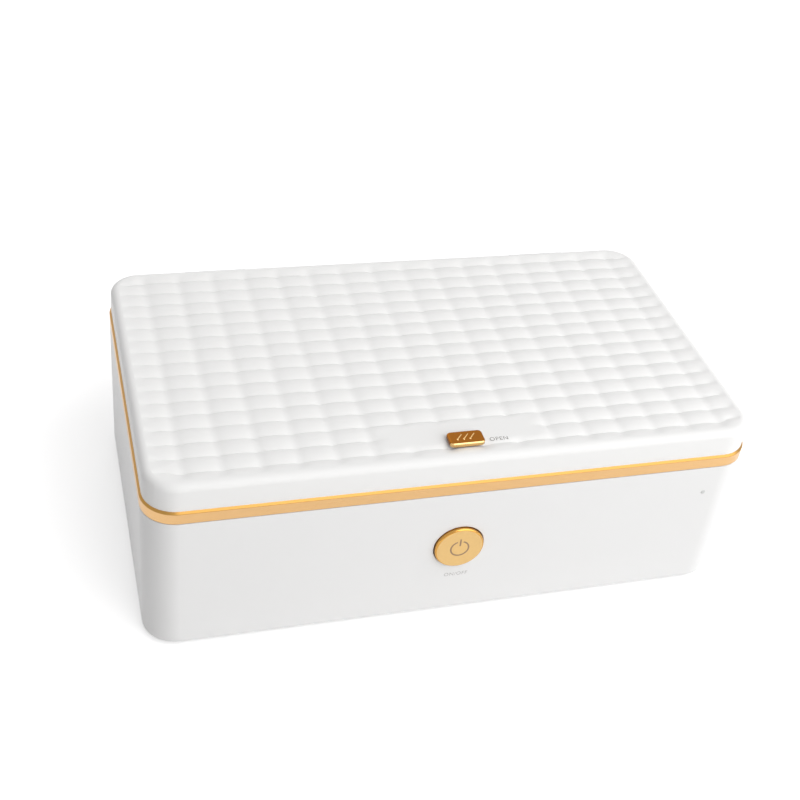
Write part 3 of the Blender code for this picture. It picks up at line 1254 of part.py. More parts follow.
make_body_shell()
make_trim_band()
make_bottom_cover()
make_feet_and_cover_screws()
make_chamber_liner()
make_lamps()
make_lamp_reflector()
make_lamp_guard()
make_power_board()
make_dc_inlet()
make_power_button()
make_switch()
make_status_light()
for hinge_name, hinge_side in LEFT_AND_RIGHT:
    make_hinge(hinge_name, hinge_side)
make_lid_shell()
make_lid_liner()
make_lid_seal()
make_lid_sensor()
make_latch_slider()
make_latch_hook()
make_latch_catch()
make_latch_spring()
make_leads()
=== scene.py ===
"""The looks of a tabletop disinfection box with a quilted lid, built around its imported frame.

Everything is in metres, in the frame's own coordinates: +Z is up and the front faces -Y.
"""

import json
import math

import bmesh
import bpy
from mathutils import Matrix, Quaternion, Vector


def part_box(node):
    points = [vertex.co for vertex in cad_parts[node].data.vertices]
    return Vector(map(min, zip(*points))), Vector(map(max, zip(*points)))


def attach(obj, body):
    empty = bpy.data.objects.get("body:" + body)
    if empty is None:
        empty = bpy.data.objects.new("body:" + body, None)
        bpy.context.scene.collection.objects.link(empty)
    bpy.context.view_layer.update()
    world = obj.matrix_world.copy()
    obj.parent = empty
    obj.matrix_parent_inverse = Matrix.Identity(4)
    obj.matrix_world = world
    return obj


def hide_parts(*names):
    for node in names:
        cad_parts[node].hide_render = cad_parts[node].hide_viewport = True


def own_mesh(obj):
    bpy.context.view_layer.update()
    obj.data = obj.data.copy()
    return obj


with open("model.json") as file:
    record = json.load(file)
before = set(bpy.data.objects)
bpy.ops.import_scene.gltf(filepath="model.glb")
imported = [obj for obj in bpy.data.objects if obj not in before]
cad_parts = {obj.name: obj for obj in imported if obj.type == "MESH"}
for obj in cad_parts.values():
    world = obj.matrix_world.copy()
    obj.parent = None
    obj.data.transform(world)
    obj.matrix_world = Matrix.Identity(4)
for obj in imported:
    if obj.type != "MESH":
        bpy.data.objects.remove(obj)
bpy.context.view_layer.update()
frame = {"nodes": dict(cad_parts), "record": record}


# The camera stands in front of the box's left end, about half a metre away, and looks down on
# it through a long lens. The photograph is tilted a little and its middle lies off centre.
case_low, case_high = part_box("body_shell")
case_middle = (case_low + case_high) / 2

CAMERA_AZIMUTH = math.radians(-21.11)
CAMERA_ELEVATION = math.radians(37.64)
CAMERA_TILT = math.radians(8.42)
CAMERA_DISTANCE = 0.5454
AIM_RIGHT = 0.0057
AIM_HEIGHT = 0.0532
LENS_MILLIMETRES = 58.45
SHIFT_RIGHT = -0.0371
SHIFT_UP = -0.0033

back = Vector((
    math.sin(CAMERA_AZIMUTH) * math.cos(CAMERA_ELEVATION),
    -math.cos(CAMERA_AZIMUTH) * math.cos(CAMERA_ELEVATION),
    math.sin(CAMERA_ELEVATION),
))
aim = Vector((AIM_RIGHT, case_middle.y, case_low.z + AIM_HEIGHT))
bpy.ops.object.camera_add(location=aim + back * CAMERA_DISTANCE)
camera = bpy.context.object
camera.rotation_mode = "QUATERNION"
camera.rotation_quaternion = (-back).to_track_quat("-Z", "Y") @ Quaternion((0, 0, 1), CAMERA_TILT)
camera.data.lens = LENS_MILLIMETRES
camera.data.shift_x = SHIFT_RIGHT
camera.data.shift_y = SHIFT_UP
camera.data.clip_start = 0.01
bpy.context.scene.camera = camera
bpy.context.scene.view_settings.view_transform = "Standard"


# The studio: a white table that runs out to a white background, a large soft light in front and
# to the right, a weaker one above the rear, and an even fill from all round.
FLOOR_SIZE = 12.0
KEY_PLACE = (0.60, -0.68, 0.86)
KEY_SIZE = 1.6
KEY_POWER = 17.5
REAR_PLACE = (-0.25, 1.10, 0.80)
REAR_SIZE = 1.2
REAR_POWER = 4.2
FILL_STRENGTH = 0.29
FILL_COLOR = (1.0, 0.985, 0.99, 1.0)
FLOOR_COLOR = (0.80, 0.80, 0.80, 1.0)
FLOOR_GLOW = 0.50
GLOW_NEAR = 0.13
GLOW_FAR = 0.40


def add_light(name, place, size, power):
    bpy.ops.object.light_add(type="AREA", location=place)
    light = bpy.context.object
    light.name = name
    light.rotation_mode = "QUATERNION"
    light.rotation_quaternion = (aim - Vector(place)).to_track_quat("-Z", "Y")
    light.data.size = size
    light.data.energy = power
    return light


def seen_directly(nodes, links):
    """A value of 1 for rays from the camera, from mirrors and through glass, and else 0."""
    path = nodes.new("ShaderNodeLightPath")
    total = nodes.new("ShaderNodeMath")
    total.operation = "ADD"
    total.use_clamp = True
    links.new(path.outputs["Is Camera Ray"], total.inputs[0])
    rest = nodes.new("ShaderNodeMath")
    rest.operation = "ADD"
    links.new(path.outputs["Is Glossy Ray"], rest.inputs[0])
    links.new(path.outputs["Is Transmission Ray"], rest.inputs[1])
    links.new(rest.outputs[0], total.inputs[1])
    return total.outputs[0]


add_light("key_light", KEY_PLACE, KEY_SIZE, KEY_POWER)
add_light("rear_light", REAR_PLACE, REAR_SIZE, REAR_POWER)

world = bpy.data.worlds.new("studio")
bpy.context.scene.world = world
world.use_nodes = True
nodes, links = world.node_tree.nodes, world.node_tree.links
nodes.clear()
fill = nodes.new("ShaderNodeBackground")
fill.inputs["Color"].default_value = FILL_COLOR
fill.inputs["Strength"].default_value = FILL_STRENGTH
white = nodes.new("ShaderNodeBackground")
white.inputs["Color"].default_value = (1, 1, 1, 1)
choice = nodes.new("ShaderNodeMixShader")
links.new(seen_directly(nodes, links), choice.inputs["Fac"])
links.new(fill.outputs[0], choice.inputs[1])
links.new(white.outputs[0], choice.inputs[2])
output = nodes.new("ShaderNodeOutputWorld")
links.new(choice.outputs[0], output.inputs["Surface"])

bpy.ops.mesh.primitive_plane_add(size=FLOOR_SIZE, location=(0, 0, 0))
floor = bpy.context.object
floor.name = "floor"
paper = bpy.data.materials.new("table_paper")
paper.use_nodes = True
nodes, links = paper.node_tree.nodes, paper.node_tree.links
nodes.clear()
matt = nodes.new("ShaderNodeBsdfDiffuse")
matt.inputs["Color"].default_value = FLOOR_COLOR
glow = nodes.new("ShaderNodeEmission")
spot = nodes.new("ShaderNodeTexCoord")
distance = nodes.new("ShaderNodeVectorMath")
distance.operation = "LENGTH"
links.new(spot.outputs["Object"], distance.inputs[0])
spread = nodes.new("ShaderNodeMapRange")
spread.inputs["From Min"].default_value = GLOW_NEAR
spread.inputs["From Max"].default_value = GLOW_FAR
spread.inputs["To Min"].default_value = FLOOR_GLOW
links.new(distance.outputs["Value"], spread.inputs["Value"])
level = nodes.new("ShaderNodeMath")
level.operation = "MULTIPLY"
links.new(seen_directly(nodes, links), level.inputs[0])
links.new(spread.outputs["Result"], level.inputs[1])
links.new(level.outputs[0], glow.inputs["Strength"])
both = nodes.new("ShaderNodeAddShader")
links.new(matt.outputs[0], both.inputs[0])
links.new(glow.outputs[0], both.inputs[1])
output = nodes.new("ShaderNodeOutputMaterial")
links.new(both.outputs[0], output.inputs["Surface"])
floor.data.materials.append(paper)


# Body shell: one injection moulding in white glossy plastic, with straight walls, round upright
# corners and a small round along its lower edge. Its holes are moulded in.
BODY_CORNER = 0.013
BODY_WALL = 0.0022
CORNER_SEGMENTS = 20
LOWER_ROUND = 0.0008
RIM_ROUND = 0.00025
HOLE_GAP = 0.0003
LEVEL_SLACK = 0.00001
LOW_SPECULAR = 0.3
WHITE = (0.86, 0.86, 0.855)
GRAIN_DETAIL = 4.0
GRAIN_HEIGHT = 0.0002
LOWEST_ROUGHNESS = 0.02


def finish(name, color, roughness, metallic=0.0, grain=900.0, stretch=(1, 1, 1), tint=0.02,
           gloss=0.05, bump=0.02):
    """A finish whose fine noise shifts its colour and gloss a little and gives it its grain."""
    material = bpy.data.materials.new(name)
    material.use_nodes = True
    nodes, links = material.node_tree.nodes, material.node_tree.links
    shader = nodes["Principled BSDF"]
    shader.inputs["Metallic"].default_value = metallic
    place = nodes.new("ShaderNodeTexCoord")
    turn = nodes.new("ShaderNodeMapping")
    turn.inputs["Scale"].default_value = stretch
    links.new(place.outputs["Object"], turn.inputs["Vector"])
    noise = nodes.new("ShaderNodeTexNoise")
    noise.inputs["Scale"].default_value = grain
    noise.inputs["Detail"].default_value = GRAIN_DETAIL
    links.new(turn.outputs["Vector"], noise.inputs["Vector"])
    shade = nodes.new("ShaderNodeMix")
    shade.data_type = "RGBA"
    shade.inputs["A"].default_value = (*[part * (1 - tint) for part in color], 1)
    shade.inputs["B"].default_value = (*[min(1, part * (1 + tint)) for part in color], 1)
    links.new(noise.outputs["Fac"], shade.inputs["Factor"])
    links.new(shade.outputs["Result"], shader.inputs["Base Color"])
    rough = nodes.new("ShaderNodeMapRange")
    rough.inputs["To Min"].default_value = max(LOWEST_ROUGHNESS, roughness - gloss)
    rough.inputs["To Max"].default_value = roughness + gloss
    links.new(noise.outputs["Fac"], rough.inputs["Value"])
    links.new(rough.outputs["Result"], shader.inputs["Roughness"])
    relief = nodes.new("ShaderNodeBump")
    relief.inputs["Strength"].default_value = bump
    relief.inputs["Distance"].default_value = GRAIN_HEIGHT
    links.new(noise.outputs["Fac"], relief.inputs["Height"])
    links.new(relief.outputs["Normal"], shader.inputs["Normal"])
    return material


def set_shader(material, socket, value):
    """Sets one value that is the same all over the surface."""
    material.node_tree.nodes["Principled BSDF"].inputs[socket].default_value = value


def activate(piece):
    bpy.ops.object.select_all(action="DESELECT")
    piece.select_set(True)
    bpy.context.view_layer.objects.active = piece


def pick(kind, test):
    """In edit mode, selects just the VERT, EDGE or FACE elements that pass a test."""
    mesh = bpy.context.object.data
    bpy.context.tool_settings.mesh_select_mode = [kind == word for word in ("VERT", "EDGE", "FACE")]
    bm = bmesh.from_edit_mesh(mesh)
    bm.select_mode = {kind}
    for group in (bm.faces, bm.edges, bm.verts):
        for item in group:
            item.select = False
    for item in {"VERT": bm.verts, "EDGE": bm.edges, "FACE": bm.faces}[kind]:
        if test(item):
            item.select_set(True)
    bm.select_flush_mode()
    bmesh.update_edit_mesh(mesh)


def is_upright(edge):
    first, second = edge.verts
    return abs(first.co.z - second.co.z) > (first.co.xy - second.co.xy).length


def at_level(height):
    return lambda item: all(
        abs(vert.co.z - height) < LEVEL_SLACK for vert in getattr(item, "verts", [item]))


def rounded_block(name, low, high, corner, segments=CORNER_SEGMENTS):
    """A cube made to size and place, left in edit mode with its upright edges rounded."""
    low, high = Vector(low), Vector(high)
    bpy.ops.object.select_all(action="DESELECT")
    bpy.ops.mesh.primitive_cube_add(size=1, location=(low + high) / 2)
    block = bpy.context.object
    block.name = name
    block.scale = high - low
    bpy.ops.object.transform_apply()
    bpy.ops.object.mode_set(mode="EDIT")
    if corner > 0:
        pick("EDGE", is_upright)
        bpy.ops.mesh.bevel(offset=corner, segments=segments, affect="EDGES")
    return block


def round_rim(height, width, segments=3):
    """In edit mode, rounds the outline of the flat face at one level."""
    pick("EDGE", lambda edge: at_level(height)(edge)
         and len({round(face.normal.z, 2) for face in edge.link_faces}) > 1)
    bpy.ops.mesh.bevel(offset=width, segments=segments, affect="EDGES")


def hollow(low_wall, high_wall, low, high):
    """In edit mode, turns a block into a ring: both end faces are inset and joined by a wall."""
    pick("FACE", lambda face: at_level(high)(face) and face.normal.z > 0.9)
    bpy.ops.mesh.inset(thickness=high_wall, use_even_offset=True)
    pick("FACE", lambda face: at_level(low)(face) and face.normal.z < -0.9)
    bpy.ops.mesh.inset(thickness=low_wall, use_even_offset=True)
    biggest = {}
    for face in bmesh.from_edit_mesh(bpy.context.object.data).faces:
        for height in (low, high):
            if at_level(height)(face):
                biggest[height] = max(biggest.get(height, 0), face.calc_area())
    pick("FACE", lambda face: any(
        at_level(height)(face) and face.calc_area() > 0.99 * biggest[height]
        for height in (low, high)))
    bpy.ops.mesh.bridge_edge_loops()


def rod(radius, start, end, sides=64):
    """A cylinder primitive between two points."""
    start, end = Vector(start), Vector(end)
    bpy.ops.object.select_all(action="DESELECT")
    bpy.ops.mesh.primitive_cylinder_add(
        vertices=sides, radius=radius, depth=(end - start).length, location=(start + end) / 2,
        rotation=(end - start).to_track_quat("Z", "Y").to_euler(),
    )
    bpy.ops.object.transform_apply()
    return bpy.context.object


def boolean(piece, tools, operation="DIFFERENCE"):
    """Cuts, joins or intersects a piece with tools, which are used up."""
    for tool in tools:
        activate(piece)
        change = piece.modifiers.new("boolean", "BOOLEAN")
        change.operation = operation
        change.object = tool
        bpy.ops.object.modifier_apply(modifier=change.name)
        bpy.data.objects.remove(tool)


def soften(piece, width=0.0002, segments=2, angle=40, limit=30):
    """Breaks the sharp edges, then shades round faces smooth and keeps flat ones flat."""
    activate(piece)
    if width:
        edge = piece.modifiers.new("edges", "BEVEL")
        edge.width = width
        edge.segments = segments
        edge.limit_method = "ANGLE"
        edge.angle_limit = math.radians(angle)
        edge.harden_normals = False
        bpy.ops.object.modifier_apply(modifier=edge.name)
    bpy.ops.object.shade_smooth_by_angle(angle=math.radians(limit))
    even = piece.modifiers.new("even", "WEIGHTED_NORMAL")
    even.keep_sharp = True
    bpy.ops.object.modifier_apply(modifier=even.name)


def dress(piece, material, body, slot, *nodes):
    """Gives a finished piece its finish and its body, and hides the nodes that it stands for. Its
    slot is not used.
    """
    piece.data.materials.clear()
    piece.data.materials.append(material)
    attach(piece, body)
    if nodes:
        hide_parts(*nodes)


white_plastic = finish("white_gloss_plastic", WHITE, roughness=0.36, grain=1500, tint=0.004,
                       gloss=0.03, bump=0.004)
set_shader(white_plastic, "Specular IOR Level", LOW_SPECULAR)
shell = rounded_block("case_shell", case_low, case_high, BODY_CORNER)
round_rim(case_low.z, LOWER_ROUND)
hollow(BODY_WALL - LOWER_ROUND, BODY_WALL, case_low.z, case_high.z)
round_rim(case_high.z, RIM_ROUND, 2)
bpy.ops.object.mode_set(mode="OBJECT")

button_low, button_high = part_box("power_button")
button_middle = (button_low + button_high) / 2
BUTTON_RADIUS = 0.00995
lens_low, lens_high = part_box("status_lens")
lens_middle = (lens_low + lens_high) / 2
LENS_RADIUS = 0.0008
inlet_low, inlet_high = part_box("dc_inlet")
inlet_middle = (inlet_low + inlet_high) / 2
INLET_NOSE_RADIUS = 0.0044
REACH = 0.004
front, rear = case_low.y, case_high.y
tools = [
    rod(BUTTON_RADIUS + HOLE_GAP, (button_middle.x, front - REACH, button_middle.z),
        (button_middle.x, front + REACH, button_middle.z), 96),
    rod(LENS_RADIUS + HOLE_GAP / 3, (lens_middle.x, front - REACH, lens_middle.z),
        (lens_middle.x, front + REACH, lens_middle.z), 32),
    rod(INLET_NOSE_RADIUS + HOLE_GAP, (inlet_middle.x, rear - REACH, inlet_middle.z),
        (inlet_middle.x, rear + REACH, inlet_middle.z), 64),
]
boolean(shell, tools)
soften(shell, 0.0001, 2, 60)
dress(shell, white_plastic, "base", "white_plastic", "body_shell")


# Gold band: a satin anodised frame between body and lid. Its outer face is brushed and its top
# outer edge is cut back and polished. This cut edge is painted a darker, deeper gold than the
# face: painted shade for the dark reflections it shows at the corners. The lamps' reflections
# still make it a thin bright line at the front.
BAND_WALL = 0.0055
BAND_CUT = 0.0010
SATIN_GOLD = (0.64, 0.40, 0.185)
# The cut edge's gold is painted darker and deeper than the face's: painted shade.
CHAMFER_GOLD_PAINTED_SHADE = (0.40, 0.22, 0.06)

band_low, band_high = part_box("trim_band")
band = rounded_block("gold_band", band_low, band_high, BODY_CORNER)
round_rim(band_high.z, BAND_CUT, 1)
hollow(BAND_WALL, BAND_WALL - BAND_CUT, band_low.z, band_high.z)
bpy.ops.object.mode_set(mode="OBJECT")
soften(band, 0.00012, 2, 25, 20)
satin_gold = finish("satin_gold", SATIN_GOLD, roughness=0.30, metallic=1.0, grain=700,
                    stretch=(0.15, 0.15, 3), tint=0.05, gloss=0.07, bump=0.03)
chamfer_gold_painted_shade = finish("chamfer_gold_painted_shade", CHAMFER_GOLD_PAINTED_SHADE, roughness=0.30, metallic=1.0, grain=900,
                       tint=0.03, gloss=0.04, bump=0.01)
dress(band, satin_gold, "base", "gold", "trim_band")
band.data.materials.append(chamfer_gold_painted_shade)
# Faces that look upwards, the cut edge, take the darker gold: painted shade.
for face in band.data.polygons:
    if 0.2 < face.normal.z:
        face.material_index = 1


# Lid shell: white satin plastic, moulded with a quilt of low humps that is 17 cells each way. The
# seams between the rows are deeper than those between the columns, and both die out towards the
# rounded edge. A place near the front, four columns wide, is left flat for the slider and its word.
LID_CORNER = 0.0122
LID_EDGE_REACH = 0.0033
LID_EDGE_DROP = 0.0030
LID_EDGE_STEPS = 10
LID_FOOT_ROUND = 0.0003
LID_WALL = 0.0020
LID_TOP_WALL = 0.0026
QUILT_CELLS = 17
CELL_STEPS = 8
COLUMN_RELIEF = 0.00075
COLUMN_SHARPNESS = 3.0
ROW_RELIEF = 0.00085
ROW_SHARPNESS = 2.0
PATCH_RELIEF = 0.00030
PATCH_HALF_COLUMNS = 2.0
PATCH_ROW = 6.5
PATCH_HALF_ROWS = 0.62
PATCH_EASE = 0.38
FADE = 0.0030

lid_low, lid_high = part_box("lid_shell")
lid_middle = (lid_low + lid_high) / 2
lid_half = (lid_high - lid_low) / 2
column_pitch = 2 * lid_half.x / QUILT_CELLS
row_pitch = 2 * lid_half.y / QUILT_CELLS
core = Vector((lid_half.x - LID_CORNER, lid_half.y - LID_CORNER))
top_half = Vector((lid_half.x - LID_EDGE_REACH, lid_half.y - LID_EDGE_REACH))


def ease(value):
    value = min(1.0, max(0.0, value))
    return value * value * (3 - 2 * value)


def dip(cell, sharpness):
    """0 on a cell's crest and 1 in the seam beside it; the outermost cells run out flat."""
    if abs(cell) > (QUILT_CELLS - 1) / 2:
        return 0.0
    return (2 * abs(cell - round(cell))) ** sharpness


def quilt_depth(x, y):
    """How far the quilted face lies below its crests."""
    column, row = x / column_pitch, -y / row_pitch
    depth = COLUMN_RELIEF * dip(column, COLUMN_SHARPNESS) + ROW_RELIEF * dip(row, ROW_SHARPNESS)
    beside = ease((PATCH_HALF_COLUMNS + PATCH_EASE - abs(column)) / PATCH_EASE)
    along = ease((PATCH_HALF_ROWS + PATCH_EASE - abs(row - PATCH_ROW)) / PATCH_EASE)
    patch = beside * along
    depth = depth * (1 - patch) + PATCH_RELIEF * patch
    edge = min(top_half.x - abs(x), top_half.y - abs(y))
    return depth * ease(edge / FADE)


def outward(spot):
    """The direction that leads straight out of the lid's rounded outline at a spot."""
    inner = Vector((max(-core.x, min(core.x, spot.x)), max(-core.y, min(core.y, spot.y))))
    return (spot.xy - inner).normalized()


def rounded_spot(x, y):
    """Draws the corners of a rectangle in, so that its outline turns round each corner."""
    across, along = abs(x) - core.x, abs(y) - core.y
    if across <= 0 or along <= 0:
        return x, y
    reach = max(across, along)
    if across >= along:
        turn = math.pi / 4 * along / across
    else:
        turn = math.pi / 2 - math.pi / 4 * across / along
    x_round = core.x + reach * math.cos(turn)
    y_round = core.y + reach * math.sin(turn)
    return math.copysign(x_round, x), math.copysign(y_round, y)


def draw_out(spread, rise):
    """In edit mode, extrudes the selected outline, widens it by spread and lifts it by rise."""
    bpy.ops.mesh.extrude_region_move()
    mesh = bpy.context.object.data
    bm = bmesh.from_edit_mesh(mesh)
    for vert in bm.verts:
        if vert.select:
            vert.co.xy += outward(vert.co) * spread
            vert.co.z += rise
    bmesh.update_edit_mesh(mesh)


steps_x = int(top_half.x / column_pitch * CELL_STEPS) + 1
steps_y = int(top_half.y / row_pitch * CELL_STEPS) + 1
bpy.ops.object.select_all(action="DESELECT")
bpy.ops.mesh.primitive_grid_add(x_subdivisions=2 * steps_x, y_subdivisions=2 * steps_y, size=2)
lid = bpy.context.object
lid.name = "quilted_lid"
for vert in lid.data.vertices:
    x = round(vert.co.x * steps_x) * column_pitch / CELL_STEPS
    y = round(vert.co.y * steps_y) * row_pitch / CELL_STEPS
    x = min(top_half.x, max(-top_half.x, x))
    y = min(top_half.y, max(-top_half.y, y))
    vert.co = (*rounded_spot(x, y), lid_high.z - quilt_depth(x, y))

bpy.ops.object.mode_set(mode="EDIT")
pick("EDGE", lambda edge: edge.is_boundary)
for step in range(LID_EDGE_STEPS):
    turns = [math.pi / 2 * number / LID_EDGE_STEPS for number in (step, step + 1)]
    sides, drops = [math.sin(t) for t in turns], [1 - math.cos(t) for t in turns]
    draw_out(LID_EDGE_REACH * (sides[1] - sides[0]), -LID_EDGE_DROP * (drops[1] - drops[0]))
draw_out(0, -(2 * lid_half.z - LID_EDGE_DROP - LID_FOOT_ROUND))
draw_out(-LID_FOOT_ROUND, -LID_FOOT_ROUND)
draw_out(LID_FOOT_ROUND - LID_WALL, 0)
draw_out(0, 2 * lid_half.z - LID_TOP_WALL)
bpy.ops.mesh.edge_face_add()
bpy.ops.mesh.select_all(action="SELECT")
bpy.ops.mesh.normals_make_consistent(inside=False)
bpy.ops.transform.translate(value=(lid_middle.x, lid_middle.y, 0))
bpy.ops.object.mode_set(mode="OBJECT")

hook_low, hook_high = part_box("latch_hook")
latch_line = (hook_low.y + hook_high.y) / 2
SLOT_HALF_DEPTH = 0.0018
SLOT_LEFT = -0.0023
SLOT_RIGHT = 0.0058
SLOT_CORNER = 0.0008
slot = rounded_block(
    "slot",
    (SLOT_LEFT, latch_line - SLOT_HALF_DEPTH, lid_high.z - 2 * LID_TOP_WALL),
    (SLOT_RIGHT, latch_line + SLOT_HALF_DEPTH, lid_high.z + REACH),
    SLOT_CORNER, 6,
)
bpy.ops.object.mode_set(mode="OBJECT")
boolean(lid, [slot])
soften(lid, 0, limit=32)
satin_plastic = finish("white_satin_plastic", (0.905, 0.905, 0.895), roughness=0.42, grain=1600,
                       tint=0.004, gloss=0.04, bump=0.005)
set_shader(satin_plastic, "Specular IOR Level", LOW_SPECULAR)
dress(lid, satin_plastic, "lid", "quilted_plastic", "lid_shell")


# Latch slider: a small die-cast gold block on the lid, satin with a polished front, and three
# slanted ribs for the fingertip. Its top, sides and back are painted a much darker gold than its
# front: painted shade for the dark reflections they show. Its stem passes down through the slot in
# the lid.
SLIDER_CORNER = 0.0016
SLIDER_EDGE = 0.0006
SLIDER_FOOT = 0.0810
STEM_HALF_LENGTH = 0.0020
STEM_HALF_DEPTH = 0.0015
STEM_TOP = 0.0003
STEM_CORNER = 0.0003
RIB_LENGTH = 0.0036
RIB_WIDTH = 0.00042
RIB_HEIGHT = 0.00018
RIB_PITCH = 0.0025
RIB_LEAN = math.radians(-40)
RIB_FORWARD = 0.0002
DOT_RADIUS = 0.00042
FRONT_LEAN = -0.35


def turned(name, profile, middle, turn=(0, 0, 0), sides=96):
    """A round piece drawn out of a disc ring by ring; the profile holds radii and heights."""
    bpy.ops.object.select_all(action="DESELECT")
    bpy.ops.mesh.primitive_circle_add(vertices=sides, radius=profile[0][0], fill_type="NGON")
    piece = bpy.context.object
    piece.name = name
    bpy.ops.object.mode_set(mode="EDIT")
    bpy.ops.mesh.select_all(action="SELECT")
    bpy.ops.transform.translate(value=(0, 0, profile[0][1]))
    for (radius, height), (next_radius, next_height) in zip(profile, profile[1:]):
        bpy.ops.mesh.extrude_region_move()
        wider = next_radius / radius
        bpy.ops.transform.resize(value=(wider, wider, 1), center_override=(0, 0, 0))
        bpy.ops.transform.translate(value=(0, 0, next_height - height))
    bpy.ops.mesh.select_all(action="SELECT")
    bpy.ops.mesh.normals_make_consistent(inside=False)
    bpy.ops.object.mode_set(mode="OBJECT")
    piece.rotation_euler = turn
    piece.location = middle
    bpy.ops.object.transform_apply()
    return piece


def round_edge(radius, height, edge, steps=5):
    """The rings of a rounded edge that ends a turned piece at a height."""
    turns = [math.pi / 2 * step / steps for step in range(steps + 1)]
    return [(radius - edge * (1 - math.cos(t)), height - edge * (1 - math.sin(t))) for t in turns]


slider_low, slider_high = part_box("latch_slider")
slider_middle = (slider_low + slider_high) / 2
slider_face = slider_high.z - DOT_RADIUS / 2
slider = rounded_block("slider", (slider_low.x, slider_low.y, SLIDER_FOOT),
                       (slider_high.x, slider_high.y, slider_face), SLIDER_CORNER, 10)
round_rim(slider_face, SLIDER_EDGE, 5)
bpy.ops.object.mode_set(mode="OBJECT")
stem = rounded_block(
    "stem",
    (slider_middle.x - STEM_HALF_LENGTH, latch_line - STEM_HALF_DEPTH, slider_low.z),
    (slider_middle.x + STEM_HALF_LENGTH, latch_line + STEM_HALF_DEPTH, SLIDER_FOOT + STEM_TOP),
    STEM_CORNER, 3,
)
bpy.ops.object.mode_set(mode="OBJECT")
boolean(slider, [stem], "UNION")
soften(slider, 0.0001, 2, 60)
# The top, sides and back get a much darker gold than the front: painted shade.
slider_painted_shade = finish("slider_gold_painted_shade", (0.29, 0.10, 0.008), roughness=0.34, metallic=1.0,
                    grain=1200, tint=0.06, gloss=0.05, bump=0.05)
slider_edge = finish("slider_polished_gold", (0.76, 0.50, 0.21), roughness=0.14, metallic=1.0,
                     grain=900, tint=0.03, gloss=0.03, bump=0.01)
dress(slider, slider_edge, "latch", "gold", "latch_slider")
slider.data.materials.append(slider_painted_shade)
# Faces that don't lean to the front take the darker gold: painted shade.
for face in slider.data.polygons:
    if face.normal.y > FRONT_LEAN:
        face.material_index = 1

rib = rounded_block(
    "grip_rib",
    (-RIB_WIDTH / 2, -RIB_LENGTH / 2, -RIB_HEIGHT),
    (RIB_WIDTH / 2, RIB_LENGTH / 2, RIB_HEIGHT),
    RIB_WIDTH / 2.02, 5,
)
round_rim(RIB_HEIGHT, RIB_HEIGHT * 0.8, 3)
bpy.ops.mesh.select_all(action="SELECT")
bpy.ops.transform.rotate(value=-RIB_LEAN, orient_axis="Z", center_override=(0, 0, 0))
bpy.ops.object.mode_set(mode="OBJECT")
soften(rib, 0)
for number in (-1, 0, 1):
    activate(rib)
    bpy.ops.object.duplicate()
    copy = bpy.context.object
    copy.name = f"grip_rib_{number + 2}"
    place = Vector((
        slider_middle.x + number * RIB_PITCH, slider_middle.y + RIB_FORWARD, slider_face))
    copy.location = place
    bpy.ops.object.transform_apply()
    dress(copy, slider_edge, "latch", "gold")
    foot = Vector((math.sin(RIB_LEAN), -math.cos(RIB_LEAN), 0)) * RIB_LENGTH / 2
    dot = turned(
        f"grip_dot_{number + 2}",
        [(DOT_RADIUS, -DOT_RADIUS / 4), *round_edge(DOT_RADIUS, DOT_RADIUS / 2, DOT_RADIUS / 2, 4)],
        place + foot, (0, 0, 0), 24,
    )
    soften(dot, 0)
    dress(dot, slider_edge, "latch", "gold")
bpy.data.objects.remove(rib)


# Power button: a turned gold cap in a round hole in the front wall, with a flat satin face and a
# polished rim. The rim is painted a darker, deeper gold than the face: painted shade for the dark
# reflections it shows. Its flange behind the wall keeps it in, and a stem behind that works the
# switch.
BUTTON_EDGE = 0.0009
FLANGE_RADIUS = 0.0114
FLANGE_DEPTH = 0.0012
FLANGE_START = 0.0036
STEM_RADIUS = 0.003
SIGN_RADIUS = 0.0036
SIGN_STROKE = 0.00062
SIGN_THICKNESS = 0.00004
SIGN_GAP = math.radians(38)
STROKE_RISE = 0.86
FACE_FRONT = (math.pi / 2, 0, 0)

button_front = button_low.y + SIGN_THICKNESS / 2
proud = front - button_front
button = turned(
    "gold_button",
    [
        (STEM_RADIUS, front - button_high.y),
        (STEM_RADIUS, -FLANGE_START - FLANGE_DEPTH),
        (FLANGE_RADIUS, -FLANGE_START - FLANGE_DEPTH),
        (FLANGE_RADIUS, -FLANGE_START),
        (BUTTON_RADIUS, -FLANGE_START),
        *round_edge(BUTTON_RADIUS, proud, BUTTON_EDGE, 8),
    ],
    (button_middle.x, front, button_middle.z), FACE_FRONT,
)
soften(button, 0, limit=25)
button_face = finish("button_satin_gold", (0.66, 0.44, 0.185), roughness=0.36, metallic=1.0,
                     grain=1200, tint=0.05, gloss=0.05, bump=0.04)
# The rim's gold is painted darker and deeper than the face's: painted shade.
button_rim_painted_shade = finish("button_rim_gold_painted_shade", (0.55, 0.29, 0.07), roughness=0.14, metallic=1.0,
                    grain=900, tint=0.03, gloss=0.03, bump=0.01)
dress(button, button_rim_painted_shade, "button", "gold", "power_button")
button.data.materials.append(button_face)
# Only the flat front face keeps the lighter gold; the rim and the rest take the darker painted
# shade.
for face in button.data.polygons:
    if face.normal.y < -0.99 and face.center.y < button_front + 0.0001:
        face.material_index = 1

